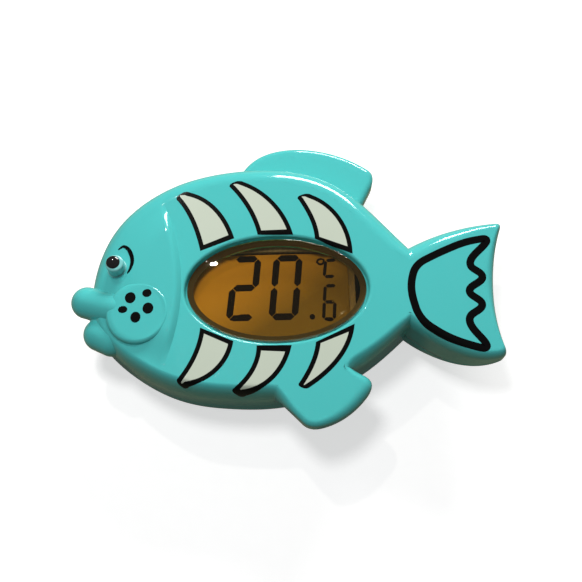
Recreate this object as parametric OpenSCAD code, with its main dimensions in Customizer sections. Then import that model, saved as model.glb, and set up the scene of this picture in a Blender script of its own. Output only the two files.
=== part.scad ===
// Fish-shaped floating thermometer for a pool or a bath, with a digital display.
// Frame: +Z is the display side, -X the mouth, +X the tail and +Y the dorsal fin.
// The origin is on the flat back, straight below the middle of the display window.

/* [Body] */
// Height of the display face above the flat back
face_z = 24.5; // [24:0.1:26.5]
// Height of the joint between the two shells
part_z = 10; // [9.6:0.1:10.6]
// Thickness of the side walls
wall = 2.4; // [2.2:0.1:2.8]
// Thickness of the front under the display face
roof_t = 2.3; // [2:0.1:2.6]
// Thickness of the back
floor_t = 2.2; // [2:0.1:2.6]
// Radius of the rounded edge round the face
shoulder_r = 5.2; // [4:0.1:6]
// Radius of the rounded edge round the back
back_r = 7; // [6:0.1:7.6]
// Radius of the face's rounded edge at the tail tips
tail_shoulder_r = 3; // [2:0.1:3.4]
// Thickness of the tail at its tips
tail_tip_t = 5.5; // [5.2:0.1:7]

/* [Head] */
// Height of the gill step between body and head
head_rise = 1.5; // [1:0.1:2]
// How far the face falls from the gill to the snout
snout_drop = 2.5; // [1.5:0.1:3]
// Radius of the gill's curve in plan
gill_r = 60; // [50:1:80]
// Radius of the raised cheek
cheek_r = 8.8; // [7.6:0.1:9.2]
// Rounding of the cheek's edge
cheek_round = 1.1; // [0.6:0.1:1.4]
// Radius of the eye's boss
eye_r = 2.8; // [2.2:0.1:3.1]
// Height of the eye's top above the display face
eye_rise = 3.8; // [3:0.1:4.2]
// Radius of the upper lip
lip_r = 4.7; // [4:0.1:5]
// Radius of the lower lip
chin_r = 5; // [4.4:0.1:5.4]

/* [Fins] */
// Thickness of the dorsal fin
dorsal_t = 5.2; // [4:0.1:7]
// Thickness of the pectoral fin
pectoral_t = 6.2; // [5:0.1:7.5]
// Rounding of the dorsal fin's edge
fin_round = 1.8; // [1:0.1:2]
// Rounding of the pectoral fin's upper edge
pectoral_round = 2.8; // [2:0.1:3]

/* [Window] */
// Length of the window's rim
window_len = 51.2; // [50:0.1:52]
// Width of the window's rim
window_wid = 31.4; // [30.8:0.1:32.4]
// Rounding of the window's rim
rim_round = 0.6; // [0.3:0.1:0.8]
// Depth of the recess that holds the lens
recess_depth = 2.9; // [2.6:0.1:3]
// Width of the ledge under the lens
ledge_w = 2.4; // [2:0.1:3]
// Thickness of the ledge
ledge_t = 1.4; // [1.2:0.1:1.8]
// Gap between the lens and the recess's wall
lens_gap = 0.7; // [0.5:0.1:0.9]
// Thickness of the lens at its edge
lens_edge_t = 2; // [1.6:0.1:2.2]
// Rise of the lens's dome
lens_crown = 1.6; // [1:0.1:2]
// Thickness of the gasket under the lens
gasket_t = 0.4; // [0.3:0.05:0.6]

/* [Display] */
// Length of the display glass
glass_len = 44; // [43.4:0.1:44.4]
// Width of the display's front glass
glass_wid = 28.4; // [28:0.1:28.6]
// Thickness of each sheet of glass
glass_t = 1.1; // [0.9:0.05:1.2]
// Gap between the two sheets of glass
cell_gap = 0.15; // [0.1:0.05:0.2]
// Thickness of the front polariser
polariser_t = 0.2; // [0.15:0.05:0.3]
// Thickness of the rear polariser and reflector
reflector_t = 0.25; // [0.2:0.05:0.35]
// Width of the contact ledge along each long edge of the front glass
contact_ledge = 2.3; // [2.2:0.1:2.6]
// Height of the two large digits, as a share of the display's clear width
digit_share = 0.78; // [0.7:0.01:0.8]
// Width of a large digit over its height
digit_slim = 0.44; // [0.38:0.01:0.46]
// Stroke of the large digits over their height
digit_stroke = 0.1; // [0.07:0.01:0.11]
// Height of the small digit over that of the large ones
small_share = 0.53; // [0.45:0.01:0.55]
// Width of the small digit over the large digits' height
small_slim = 0.2; // [0.16:0.01:0.22]
// Stroke of the small digit and of the degree sign over the large digits' height
small_stroke = 0.048; // [0.03:0.001:0.055]
// Lean of the digits
digit_lean = 6; // [0:1:8]

/* [Board] */
// Length of the circuit board
board_len = 48; // [47:0.1:48.4]
// Width of the circuit board beyond its screws' axes
board_edge = 1.9; // [1.7:0.1:2.1]
// Thickness of the circuit board
board_t = 1.6; // [1.2:0.1:1.8]
// Height of the holder between the board and the ledge
holder_h = 6.6; // [6.4:0.1:6.8]
// Wall of the display holder
holder_wall = 1.6; // [1.2:0.1:1.8]
// Radius of the board screws' shank
board_screw_r = 0.95; // [0.8:0.05:1.1]
// Radius of the bosses that carry the board
board_boss_r = 2.3; // [2.1:0.1:2.6]

/* [Battery] */
// Radius of the coin cell
cell_r = 10; // [9.8:0.1:10.2]
// Thickness of the coin cell
cell_t = 3.2; // [3:0.1:3.3]
// Thickness of the cap's flange
cap_flange_t = 2; // [1.8:0.1:2.2]
// Width of the cap's flange beyond its plug
cap_flange_w = 1.65; // [1.4:0.05:1.9]
// Height of the cap's plug
cap_plug_h = 3.7; // [3.5:0.1:3.8]
// Clearance of the cap and of the key in their bores
run_gap = 0.08; // [0.05:0.01:0.1]
// Width of the coin slot
coin_slot_w = 1.8; // [1.4:0.1:2.2]
// Length of the coin slot
coin_slot_len = 16; // [12:0.5:18]
// Depth of the coin slot
coin_slot_d = 1.2; // [0.8:0.1:1.4]

/* [Key] */
// Radius of the unit key
key_r = 3.5; // [3:0.1:3.8]
// Travel of the unit key
key_travel = 0.5; // [0.3:0.1:0.6]
// Side of the push switch
switch_side = 6; // [5.6:0.1:6.4]
// Height of the push switch's case
switch_h = 3.5; // [3.2:0.1:3.8]
// Radius of the push switch's plunger
plunger_r = 1.75; // [1.5:0.05:1.9]

/* [Sensor] */
// Radius of the steel sensor cap
sensor_r = 3; // [2.6:0.1:3.2]
// Length of the sensor cap above its flange
sensor_h = 5.5; // [4:0.1:6]
// Wall of the sensor cap
sensor_wall = 0.5; // [0.4:0.05:0.7]
// Thickness of the sensor's rubber washer
sensor_seal_t = 0.8; // [0.6:0.1:1]

/* [Screws] */
// Radius of the shell screws' shank
screw_r = 1.25; // [1.1:0.05:1.4]
// Radius of the shell screws' head
screw_head_r = 2.4; // [2.2:0.1:2.6]
// Height of the shell screws' head
screw_head_h = 1.6; // [1.4:0.1:1.8]
// Length of the shell screws' shank
screw_len = 14; // [12:0.5:15]
// Radius of the screw bosses
boss_r = 3.4; // [3.2:0.1:3.6]
// Width of the seal between the shells
seal_w = 1; // [0.8:0.1:1.1]
// Depth of the seal between the shells
seal_d = 0.8; // [0.6:0.1:1]

/* [Hidden] */
$fn = 64;
EPS = 0.01;

// ---- Outline of the fish -------------------------------------------------------------
// Control points of the body's curve, from the upper tail notch round the mouth to the lower
BODY_CURVE = [
  [37.5, 12.5], [27.5, 24.5], [12.5, 39], [-23.5, 38.5], [-49, 23], [-53.5, -1.5],
  [-51.5, -12.5], [-31.5, -27.5], [-14.5, -30], [5.5, -30.5], [25, -21], [36.5, -10.5]
];
// Where along that curve the snout lies, in control points
SNOUT_AT = 5.3;
// Bend points of the tail's three edges
TAIL_TOP_BEND = [49, 18.4];
TAIL_TIP_TOP = [64.6, 18.9];
TAIL_END_BEND = [57.2, -1.5];
TAIL_TIP_LOW = [62.6, -20.2];
TAIL_LOW_BEND = [51.5, -23];
TAIL_AXIS_Y = -0.8;
TIP_CUT = 1.8;
BODY_STEPS = 36;
EDGE_STEPS = 9;
TIP_STEPS = 3;
END_STEPS = 7;
ROUND_STEPS = 6;

function unit(v) = v / norm(v);
function mix(a, b, t) = a + (b - a) * t;
function bezier(a, b, c, t) = mix(mix(a, b, t), mix(b, c, t), t);

// Point at u on a smooth curve (uniform cubic B-spline) that starts and ends at its outer points
function ghosted(c) =
  let (n = len(c) - 1)
  concat([2 * c[0] - c[1]], c, [2 * c[n] - c[n - 1]]);
function spline(c, u) =
  let (g = ghosted(c), i = min(floor(u), len(c) - 2), t = u - i)
  (g[i] * pow(1 - t, 3) + g[i + 1] * (3 * t * t * t - 6 * t * t + 4)
    + g[i + 2] * (3 * t + 3 * t * t - 3 * t * t * t + 1) + g[i + 3] * t * t * t) / 6;

// The upper and the lower half of the outline run from the snout to the middle of the tail's end,
// station by station, so that station k above lies opposite station k below.
BODY_END = len(BODY_CURVE) - 1;
NOTCH_TOP = BODY_CURVE[0];
NOTCH_LOW = BODY_CURVE[BODY_END];
function edge_from(a, bend, b, steps) = [for (i = [1:steps]) bezier(a, bend, b, i / steps)];
function tail_half(notch, bend, tip) =
  let (
    end_mid = bezier(TAIL_TIP_TOP, TAIL_END_BEND, TAIL_TIP_LOW, 0.5),
    end_bend = mix(tip, TAIL_END_BEND, 0.5),
    before = tip + TIP_CUT * unit(bend - tip),
    after = tip + TIP_CUT * unit(end_bend - tip)
  )
  concat(
    edge_from(notch, bend, before, EDGE_STEPS),
    edge_from(before, tip, after, TIP_STEPS),
    edge_from(after, end_bend, end_mid, END_STEPS)
  );
TOP_HALF = concat(
  [for (k = [0:BODY_STEPS]) spline(BODY_CURVE, SNOUT_AT * (1 - k / BODY_STEPS))],
  tail_half(NOTCH_TOP, TAIL_TOP_BEND, TAIL_TIP_TOP)
);
LOW_HALF = concat(
  [for (k = [0:BODY_STEPS]) spline(BODY_CURVE, SNOUT_AT + (BODY_END - SNOUT_AT) * k / BODY_STEPS)],
  tail_half(NOTCH_LOW, TAIL_LOW_BEND, TAIL_TIP_LOW)
);
LAST = len(TOP_HALF) - 1;

// A ring takes one value for each station: down the upper half and back along the lower one
function ring(top, low, last) = concat(
  [for (k = [0:last]) top[k]],
  [for (k = [last - 1:-1:1]) low[k]]
);
OUTLINE = ring(TOP_HALF, LOW_HALF, LAST);
COUNT = len(OUTLINE);
TAIL_X = NOTCH_TOP[0];
TAIL_LEN = TAIL_TIP_TOP[0] - TAIL_X;
// The last pair of stations whose chord stays inside the tail's hollow end
TAIL_STRIPS = BODY_STEPS + EDGE_STEPS - 2;
function on_tail(i) = i > BODY_STEPS && i < COUNT - BODY_STEPS;
function tail_share(x) = min(1, max(0, (x - TAIL_X) / TAIL_LEN));

// Way inwards at each station. Beside a notch it turns to run along the notch's mitre line.
AIM_REACH = 5;
function outline_normal(i) =
  let (
    before = OUTLINE[(i + COUNT - 1) % COUNT],
    after = OUTLINE[(i + 1) % COUNT],
    along = unit(after - before)
  )
  [along[1], -along[0]];
// On the tail it points towards the tail's axis, no further out than TAIL_AIM_RUN past the notches
TAIL_AIM_RUN = 13;
TAIL_AIM_SPREAD = 0.3;
function tail_aim(p) =
  unit([min(p[0], TAIL_X + TAIL_AIM_RUN), mix(TAIL_AXIS_Y, p[1], TAIL_AIM_SPREAD)] - p);
function body_aim(i) =
  let (
    p = OUTLINE[i],
    notch = p[1] > 0 ? NOTCH_TOP : NOTCH_LOW,
    share = exp(-pow(norm(p - notch) / AIM_REACH, 2)),
    mitre = [0, p[1] > 0 ? -1 : 1]
  )
  unit(mix(outline_normal(i), mitre, share));
AIM = [for (i = [0:COUNT - 1]) on_tail(i) ? tail_aim(OUTLINE[i]) : body_aim(i)];
function inset_at(i, d) = OUTLINE[i] + AIM[i] * d;

// ---- Heights along the fish -----------------------------------------------------------
// The face falls towards the snout, and the tail thins towards its tips
GILL_X = -26.4;
SNOUT_LEN = 25;
function top_z(x) = face_z - snout_drop * pow(max(0, GILL_X - x) / SNOUT_LEN, 1.3);
function back_z(x) = (face_z - tail_tip_t) * pow(tail_share(x), 1.25);
function shoulder_at(x) = mix(shoulder_r, tail_shoulder_r, tail_share(x));
function back_round_at(x) = mix(back_r, tail_tip_t / 4, tail_share(x));
function joint_z(x) = max(part_z, back_z(x) + back_round_at(x) + 0.4);

// ---- Lofts ----------------------------------------------------------------------------
// Closed solid through rings of equal, even count, each ring a list of 3-D points listed
// clockwise from above, the rings in rising order. Each of its two ends is made of strips from
// the upper to the lower half, then of one fan in each half where the outline has a hollow end.
module loft(rings, strips = undef) {
  n = len(rings[0]);
  m = len(rings) - 1;
  half = n / 2;
  s = is_undef(strips) ? half - 1 : strips;
  sides = [
    for (r = [0:m - 1], i = [0:n - 1])
      let (a = r * n + i, b = r * n + (i + 1) % n)
      each [[a, b, b + n], [a, b + n, a + n]]
  ];
  ends = concat(
    [[0, 1, n - 1], [s, half, n - s]],
    [for (k = [1:s - 1]) each [[k, k + 1, n - k], [k + 1, n - k - 1, n - k]]],
    [for (k = [s + 1:1:half - 1]) each [[s, k, k + 1], [n - s, n - k - 1, n - k]]]
  );
  floor_faces = [for (f = ends) [f[2], f[1], f[0]]];
  roof_faces = [for (f = ends) [f[0] + m * n, f[1] + m * n, f[2] + m * n]];
  polyhedron(
    points = [for (r = rings) each r],
    faces = concat(sides, floor_faces, roof_faces)
  );
}
function lift(p, z) = [p[0], p[1], z];

// Outer form of the front, from the joint up over the rounded edge to the face
function front_ring(angle) = [
  for (i = [0:COUNT - 1])
    let (x = OUTLINE[i][0], r = shoulder_at(x), d = r * (1 - cos(angle)))
    lift(inset_at(i, d), top_z(x) - r * (1 - sin(angle)))
];
JOINT_RING = [for (i = [0:COUNT - 1]) lift(OUTLINE[i], joint_z(OUTLINE[i][0]))];
module front_form() {
  rings = [for (s = [0:ROUND_STEPS]) front_ring(90 * s / ROUND_STEPS)];
  loft(concat([JOINT_RING], rings), TAIL_STRIPS);
}
// Outer form of the rear, from the back over its rounded edge up to the joint
function back_ring(angle) = [
  for (i = [0:COUNT - 1])
    let (x = OUTLINE[i][0], r = back_round_at(x), d = r * (1 - cos(angle)))
    lift(inset_at(i, d), back_z(x) + r * (1 - sin(angle)))
];
module back_form() {
  rings = [for (s = [ROUND_STEPS:-1:0]) back_ring(90 * s / ROUND_STEPS)];
  loft(concat(rings, [JOINT_RING]), TAIL_STRIPS);
}

// Chamber: the body's outline less the wall, closed by a bulkhead ahead of the tail
CHAMBER_LAST = BODY_STEPS - 1;
function chamber_points(d) =
  let (
    top = [for (k = [0:CHAMBER_LAST]) inset_at(k, d)],
    low = [for (k = [0:CHAMBER_LAST]) inset_at((COUNT - k) % COUNT, d)],
    middle = mix(top[CHAMBER_LAST], low[CHAMBER_LAST], 0.5)
  )
  ring(concat(top, [middle]), concat(low, [middle]), CHAMBER_LAST + 1);

CHAMBER = chamber_points(wall);
CHAMBER_STEPS = 3;
function roof_z(x) = top_z(x) - roof_t;
function roof_ring(r, angle) = [
  for (p = chamber_points(wall + r * (1 - cos(angle)))) lift(p, roof_z(p[0]) - r * (1 - sin(angle)))
];
function floor_ring(r, angle) = [
  for (p = chamber_points(wall + r * (1 - cos(angle)))) lift(p, floor_t + r * (1 - sin(angle)))
];
module chamber_above(z0) {
  r = shoulder_r - wall;
  loft(concat(
    [[for (p = CHAMBER) lift(p, z0)]],
    [for (s = [0:CHAMBER_STEPS]) roof_ring(r, 90 * s / CHAMBER_STEPS)]
  ));
}
module chamber_below(z1) {
  r = back_r - wall;
  loft(concat(
    [for (s = [CHAMBER_STEPS:-1:0]) floor_ring(r, 90 * s / CHAMBER_STEPS)],
    [[for (p = CHAMBER) lift(p, z1)]]
  ));
}

// ---- Levels through the stack, from the display face down -----------------------------
LEDGE_TOP = face_z - recess_depth;
LEDGE_Z = LEDGE_TOP - ledge_t;
FRONT_GLASS_Z = LEDGE_Z - polariser_t - glass_t;
CELL_Z = FRONT_GLASS_Z - cell_gap;
REAR_GLASS_Z = CELL_Z - glass_t;
REFLECTOR_Z = REAR_GLASS_Z - reflector_t;
BOARD_TOP = LEDGE_Z - holder_h;
BOARD_Z = BOARD_TOP - board_t;
ROOF_Z = face_z - roof_t;

// ---- Places in plan -------------------------------------------------------------------
GLASS_X = -2.3;
BOARD_X = -3;
CELL_AT = [-14.2, 0];
KEY_AT = [11, -9.5];
SENSOR_AT = [11, 9.5];
SHELL_SCREWS_AT = [[-40, 14], [-40, -9], [-6, 30], [-6, -22.4], [28, 9], [28, -7]];
SLIP = 0.2;
SCREW_SLIP = 0.05;
HOLDER_HALF = glass_wid / 2 + SLIP + holder_wall;
BOARD_SCREW_Y = HOLDER_HALF + SLIP + board_boss_r;
BOARD_X0 = BOARD_X - board_len / 2;
BOARD_X1 = BOARD_X + board_len / 2;
BOARD_Y = BOARD_SCREW_Y + board_edge;
BOARD_CHAMFER = 8;
BOARD_SCREW_INSETS = [5, BOARD_CHAMFER + 3];
BOARD_SCREWS_X = [BOARD_X0 + BOARD_SCREW_INSETS[0], BOARD_X1 - BOARD_SCREW_INSETS[1]];
BOARD_SCREWS_AT = [for (x = BOARD_SCREWS_X, side = [-1, 1]) [x, side * BOARD_SCREW_Y]];

module at_each(places) {
  for (p = places) translate(p) children();
}
module rod(r, z0, z1) {
  translate([0, 0, z0]) cylinder(r = r, h = z1 - z0);
}
module block(x0, x1, y0, y1, z0, z1) {
  translate([x0, y0, z0]) cube([x1 - x0, y1 - y0, z1 - z0]);
}
module slab(z0, z1) {
  translate([0, 0, z0]) linear_extrude(z1 - z0) children();
}
ELLIPSE_STEPS = 72;
function ellipse_points(a, b) = [
  for (i = [0:ELLIPSE_STEPS - 1])
    let (angle = 180 - 360 * i / ELLIPSE_STEPS)
    [a * cos(angle), b * sin(angle)]
];
// Ellipse parallel to the window's rim, smaller by d all round
module window_oval(d) {
  polygon(ellipse_points(window_len / 2 - d, window_wid / 2 - d));
}

// ---- Front shell ----------------------------------------------------------------------
GILL_Y = 1.5;
function gill_x(y) = GILL_X - gill_r + sqrt(gill_r * gill_r - pow(y - GILL_Y, 2));
HEAD_CLEAR = 0.05;
HEAD_ROUND = 5.8;
GILL_ROUND = 1.5;
HEAD_FOOT = 2;
HEAD_STEPS = 13;
GILL_STEPS = 8;
// Body's curve inset by d, and where such an inset meets the gill, its face g behind the foot
function curve_inset(u, d) =
  let (along = unit(spline(BODY_CURVE, u + 0.01) - spline(BODY_CURVE, u - 0.01)))
  spline(BODY_CURVE, u) + [-along[1], along[0]] * d;
function past_gill(p, g) = p[0] > gill_x(p[1]) - g;
function gill_meet(u0, u1, d, g, turns) =
  let (mid = (u0 + u1) / 2)
  turns == 0 ? mid
    : past_gill(curve_inset(mid, d), g) ? gill_meet(u0, mid, d, g, turns - 1)
    : gill_meet(mid, u1, d, g, turns - 1);
// Half of a head ring: round the outline to the gill, then along the gill to its middle
function head_half(u_far, d, g) =
  let (
    u_end = gill_meet(SNOUT_AT, u_far, d, g, 20),
    edge = [for (k = [0:HEAD_STEPS]) curve_inset(mix(SNOUT_AT, u_end, k / HEAD_STEPS), d)],
    gill = [
      for (j = [1:GILL_STEPS])
        let (y = mix(edge[HEAD_STEPS][1], GILL_Y, j / GILL_STEPS))
        [gill_x(y) - g, y]
    ]
  )
  concat(edge, gill);
// Points on the body's curve above and below, each well past the gill
PAST_GILL_TOP = 2.5;
PAST_GILL_LOW = 8;
function head_plan(d, g) =
  ring(head_half(PAST_GILL_TOP, d, g), head_half(PAST_GILL_LOW, d, g), HEAD_STEPS + GILL_STEPS);
function head_z(x) = top_z(x) + head_rise;
module head_form() {
  rise = shoulder_r + head_rise;
  rings = [
    for (s = [0:ROUND_STEPS])
      let (a = 90 * s / ROUND_STEPS, d = HEAD_CLEAR + HEAD_ROUND * (1 - cos(a)))
      [for (p = head_plan(d, GILL_ROUND * (1 - cos(a)))) lift(p, head_z(p[0]) - rise * (1 - sin(a)))]
  ];
  foot = [for (p = head_plan(HEAD_CLEAR, 0)) lift(p, head_z(p[0]) - rise - HEAD_FOOT)];
  loft(concat([foot], rings));
}

CHEEK_AT = [-38.3, -6.2];
CHEEK_Z = face_z + head_rise - 0.1;
EYE_AT = [-44.6, 7.4];
EYE_DOME = 0.7;
LIP_AT = [-53.1, -1];
LIP_RUN = 5;
LIP_Z = 17.2;
CHIN_AT = [-49.3, -9.5];
CHIN_Z = 15.4;
ARC_STEPS = 6;
// Round button from z0 to z1 with its upper edge rounded by dx across and dz down
module button(r, z0, z1, dx, dz) {
  edge = [
    for (s = [0:ARC_STEPS])
      let (a = 90 * s / ARC_STEPS)
      [r - dx * (1 - cos(a)), z1 - dz * (1 - sin(a))]
  ];
  rotate_extrude() polygon(concat([[0, z0], [r, z0]], edge, dx < r ? [[0, z1]] : []));
}
module face_features() {
  head_form();
  translate(CHEEK_AT) button(cheek_r, ROOF_Z, CHEEK_Z, cheek_round, cheek_round);
  translate(EYE_AT) button(eye_r, ROOF_Z - 1, face_z + eye_rise, eye_r, EYE_DOME);
  translate([LIP_AT[0], LIP_AT[1], LIP_Z]) {
    sphere(r = lip_r);
    rotate([0, 90, 0]) cylinder(r = lip_r, h = LIP_RUN);
  }
  translate([CHIN_AT[0], CHIN_AT[1], CHIN_Z]) sphere(r = chin_r);
}

// Corner points of the fins, and the bend between each pair where the edge is curved
DORSAL_FRONT = [-12, 35];
DORSAL_FRONT_BEND = [-9, 48.6];
DORSAL_TOP = [7.5, 48.2];
DORSAL_TOP_BEND = [19.4, 47.4];
DORSAL_CORNER = [28.6, 40.4];
DORSAL_CORNER_BEND = [30.2, 38.6];
DORSAL_BACK = [28.7, 35];
DORSAL_ROOT = [23, 24];
PECTORAL_FRONT = [-9, -20.5];
PECTORAL_EDGE = [-1.1, -30];
PECTORAL_TIP = [6.4, -37.7];
PECTORAL_TIP_BEND = [8.2, -39.2];
PECTORAL_LOW = [11.2, -38.6];
PECTORAL_LOW_BEND = [18.5, -37];
PECTORAL_CORNER = [23.9, -30.3];
PECTORAL_CORNER_BEND = [26.8, -26.4];
PECTORAL_BACK = [23, -24.4];
PECTORAL_ROOT = [13, -17.7];
FIN_STEPS = 6;
FIN_ROUND_STEPS = 3;
DORSAL_PLAN = concat(
  [DORSAL_FRONT],
  edge_from(DORSAL_FRONT, DORSAL_FRONT_BEND, DORSAL_TOP, FIN_STEPS),
  edge_from(DORSAL_TOP, DORSAL_TOP_BEND, DORSAL_CORNER, FIN_STEPS),
  edge_from(DORSAL_CORNER, DORSAL_CORNER_BEND, DORSAL_BACK, FIN_STEPS),
  [DORSAL_ROOT]
);
PECTORAL_PLAN = concat(
  [PECTORAL_FRONT, PECTORAL_EDGE, PECTORAL_TIP],
  edge_from(PECTORAL_TIP, PECTORAL_TIP_BEND, PECTORAL_LOW, FIN_STEPS),
  edge_from(PECTORAL_LOW, PECTORAL_LOW_BEND, PECTORAL_CORNER, FIN_STEPS),
  edge_from(PECTORAL_CORNER, PECTORAL_CORNER_BEND, PECTORAL_BACK, FIN_STEPS),
  [PECTORAL_ROOT]
);
// Flat fin from z0 to z1 with its upper and lower edges rounded
module fin(plan, z0, z1, round_up, round_low) {
  hull() {
    for (s = [0:FIN_ROUND_STEPS]) {
      a = 90 * s / FIN_ROUND_STEPS;
      slab(z1 - round_up * (1 - sin(a)) - EPS, z1 - round_up * (1 - sin(a)))
        offset(delta = -round_up * (1 - cos(a))) polygon(plan);
      slab(z0 + round_low * (1 - sin(a)), z0 + round_low * (1 - sin(a)) + EPS)
        offset(delta = -round_low * (1 - cos(a))) polygon(plan);
    }
  }
}

RIM_STEPS = 3;
// Cutter for the rounded rim of the window
module rim_cutter() {
  rings = [
    for (s = [0:RIM_STEPS])
      let (a = 90 * s / RIM_STEPS, d = rim_round * (1 - cos(a)))
      [
        for (p = ellipse_points(window_len / 2 + d, window_wid / 2 + d))
          lift(p, face_z - rim_round * (1 - sin(a)))
      ]
  ];
  above = [for (p = rings[RIM_STEPS]) lift(p, face_z + 1)];
  loft(concat(rings, [above]));
}
TUB_WALL = 1.6;
POCKET_INSET = 4;
POCKET_FIRST = BODY_STEPS + 2;
PILOT_DEPTH = 1;
TAIL_POCKET = [for (i = [POCKET_FIRST:COUNT - POCKET_FIRST]) inset_at(i, POCKET_INSET)];
module front_shell() {
  color("mediumturquoise") difference() {
    union() {
      difference() {
        union() {
          front_form();
          face_features();
          fin(DORSAL_PLAN, part_z, part_z + dorsal_t, fin_round, 0);
          fin(PECTORAL_PLAN, face_z - pectoral_t, face_z, pectoral_round, fin_round);
        }
        chamber_above(part_z - 1);
      }
      slab(LEDGE_Z, ROOF_Z + EPS) window_oval(-TUB_WALL);
      for (p = SHELL_SCREWS_AT) translate(p) rod(boss_r, part_z, roof_z(p[0]) + 1);
      at_each(BOARD_SCREWS_AT) rod(board_boss_r, BOARD_TOP, ROOF_Z + EPS);
    }
    slab(LEDGE_TOP, face_z + 1) window_oval(0);
    rim_cutter();
    slab(LEDGE_Z - 1, face_z) window_oval(lens_gap + ledge_w);
    at_each(SHELL_SCREWS_AT) rod(screw_r + SCREW_SLIP, part_z - 1, SCREW_TIP_Z + PILOT_DEPTH);
    at_each(BOARD_SCREWS_AT)
      rod(board_screw_r + SCREW_SLIP, BOARD_TOP - 1, BOARD_SCREW_TIP_Z + PILOT_DEPTH);
    slab(part_z - 1, ROOF_Z) polygon(TAIL_POCKET);
  }
}

// ---- Rear shell -----------------------------------------------------------------------
CAP_Z = 0.3;
CAP_SEAT_Z = CAP_Z + cap_flange_t;
CAP_TOP_Z = CAP_SEAT_Z + cap_plug_h;
CAP_PLUG_R = cell_r + 1.35;
CAP_FLANGE_R = CAP_PLUG_R + cap_flange_w;
CELL_Z0 = CAP_TOP_Z + 0.1;
CELL_TOP_Z = CELL_Z0 + cell_t;
CELL_SLIP = 0.35;
LIP_GAP = 0.2;
LIP_T = 0.7;
LIP_HOLE_R = cell_r - 1.5;
TUBE_TOP_Z = CELL_TOP_Z + LIP_GAP + LIP_T;
TUBE_WALL = 1.9;
CONTACT_W = 4;
CONTACT_T = 0.3;
SEAL_INNER = 0.6;
HEAD_SINK = 1;
SCREW_SEAT_Z = HEAD_SINK + screw_head_h;
SCREW_TIP_Z = SCREW_SEAT_Z + screw_len;
POST_R = 1.1;
POSTS_AT = [for (side = [-1, 1]) SENSOR_AT + [side * (sensor_r + 3.4), 0]];
SENSOR_FLANGE_T = 1;
SENSOR_SEAT_Z = floor_t + sensor_seal_t;
CLIP_Z = SENSOR_SEAT_Z + SENSOR_FLANGE_T;
CLIP_T = 1;
POST_TOP_Z = CLIP_Z + CLIP_T + 0.6;
module chamber_outline(d) {
  offset(delta = d) polygon(CHAMBER);
}
module seal_outline() {
  difference() {
    chamber_outline(SEAL_INNER + seal_w);
    chamber_outline(SEAL_INNER);
  }
}
module battery_tube() {
  rod(CAP_FLANGE_R + 2, 0, CAP_SEAT_Z + 1.5);
  rod(CAP_PLUG_R + TUBE_WALL, 0, CAP_TOP_Z + TUBE_WALL);
  rod(cell_r + CELL_SLIP + TUBE_WALL, 0, TUBE_TOP_Z);
}
module battery_well() {
  rod(CAP_FLANGE_R + run_gap, -1, CAP_SEAT_Z);
  rod(CAP_PLUG_R + run_gap, 0, CAP_TOP_Z + 0.2);
  rod(cell_r + CELL_SLIP, 0, CELL_TOP_Z + LIP_GAP);
  rod(LIP_HOLE_R, 0, TUBE_TOP_Z + 1);
  // Way through the tube's side for the contact beside the cell
  block(
    -cell_r - CELL_SLIP - TUBE_WALL - 1, 1 - LIP_HOLE_R,
    -CONTACT_W / 2 - SLIP, CONTACT_W / 2 + SLIP,
    CELL_Z0 + 0.5, TUBE_TOP_Z + 1
  );
}
module rear_shell() {
  color("mediumturquoise") difference() {
    union() {
      difference() {
        back_form();
        chamber_below(part_z + 1);
      }
      translate(CELL_AT) battery_tube();
      at_each(SHELL_SCREWS_AT) rod(boss_r, floor_t - 0.5, part_z);
      at_each(POSTS_AT) rod(POST_R, 1, POST_TOP_Z);
    }
    translate(CELL_AT) battery_well();
    at_each(SHELL_SCREWS_AT) {
      rod(screw_r + SLIP, 0, part_z + 1);
      rod(screw_head_r + SLIP, -1, SCREW_SEAT_Z);
    }
    translate(KEY_AT) rod(key_r + run_gap, -1, floor_t + 1);
    translate(SENSOR_AT) rod(sensor_r + SCREW_SLIP, -1, floor_t + 1);
    slab(part_z - seal_d, part_z + 1) seal_outline();
  }
}
module perimeter_seal() {
  color("dimgray") slab(part_z - seal_d, part_z) seal_outline();
}
DRIVE_DEPTH = 0.9;
// Screw with its head down and a cross recess, its shank starting at z0
module screw(r, head_r, head_h, length, z0) {
  difference() {
    union() {
      rod(r, z0 - EPS, z0 + length);
      rod(head_r, z0 - head_h, z0);
    }
    for (turn = [0, 90])
      rotate(turn) block(
        -head_r * 0.6, head_r * 0.6, -head_r / 7, head_r / 7,
        z0 - head_h - 1, z0 - head_h + DRIVE_DEPTH
      );
  }
}
module shell_screws() {
  color("silver") at_each(SHELL_SCREWS_AT)
    screw(screw_r, screw_head_r, screw_head_h, screw_len, SCREW_SEAT_Z);
}

// ---- Window ---------------------------------------------------------------------------
LENS_Z = LEDGE_TOP + gasket_t;
DOME_STEPS = 6;
module window_gasket() {
  color("darkslategray") slab(LEDGE_TOP, LENS_Z) difference() {
    window_oval(lens_gap + 0.1);
    window_oval(lens_gap + ledge_w - 0.6);
  }
}
function lens_ring(share) =
  let (a = window_len / 2 - lens_gap, b = window_wid / 2 - lens_gap)
  [
    for (p = ellipse_points(a * share, b * share))
      lift(p, LENS_Z + lens_edge_t + lens_crown * (1 - share * share))
  ];
module window_lens() {
  base = [for (p = lens_ring(1)) lift(p, LENS_Z)];
  color("gold", 0.4)
    loft(concat([base], [for (s = [0:DOME_STEPS - 1]) lens_ring(cos(90 * s / DOME_STEPS))]));
}

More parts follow.
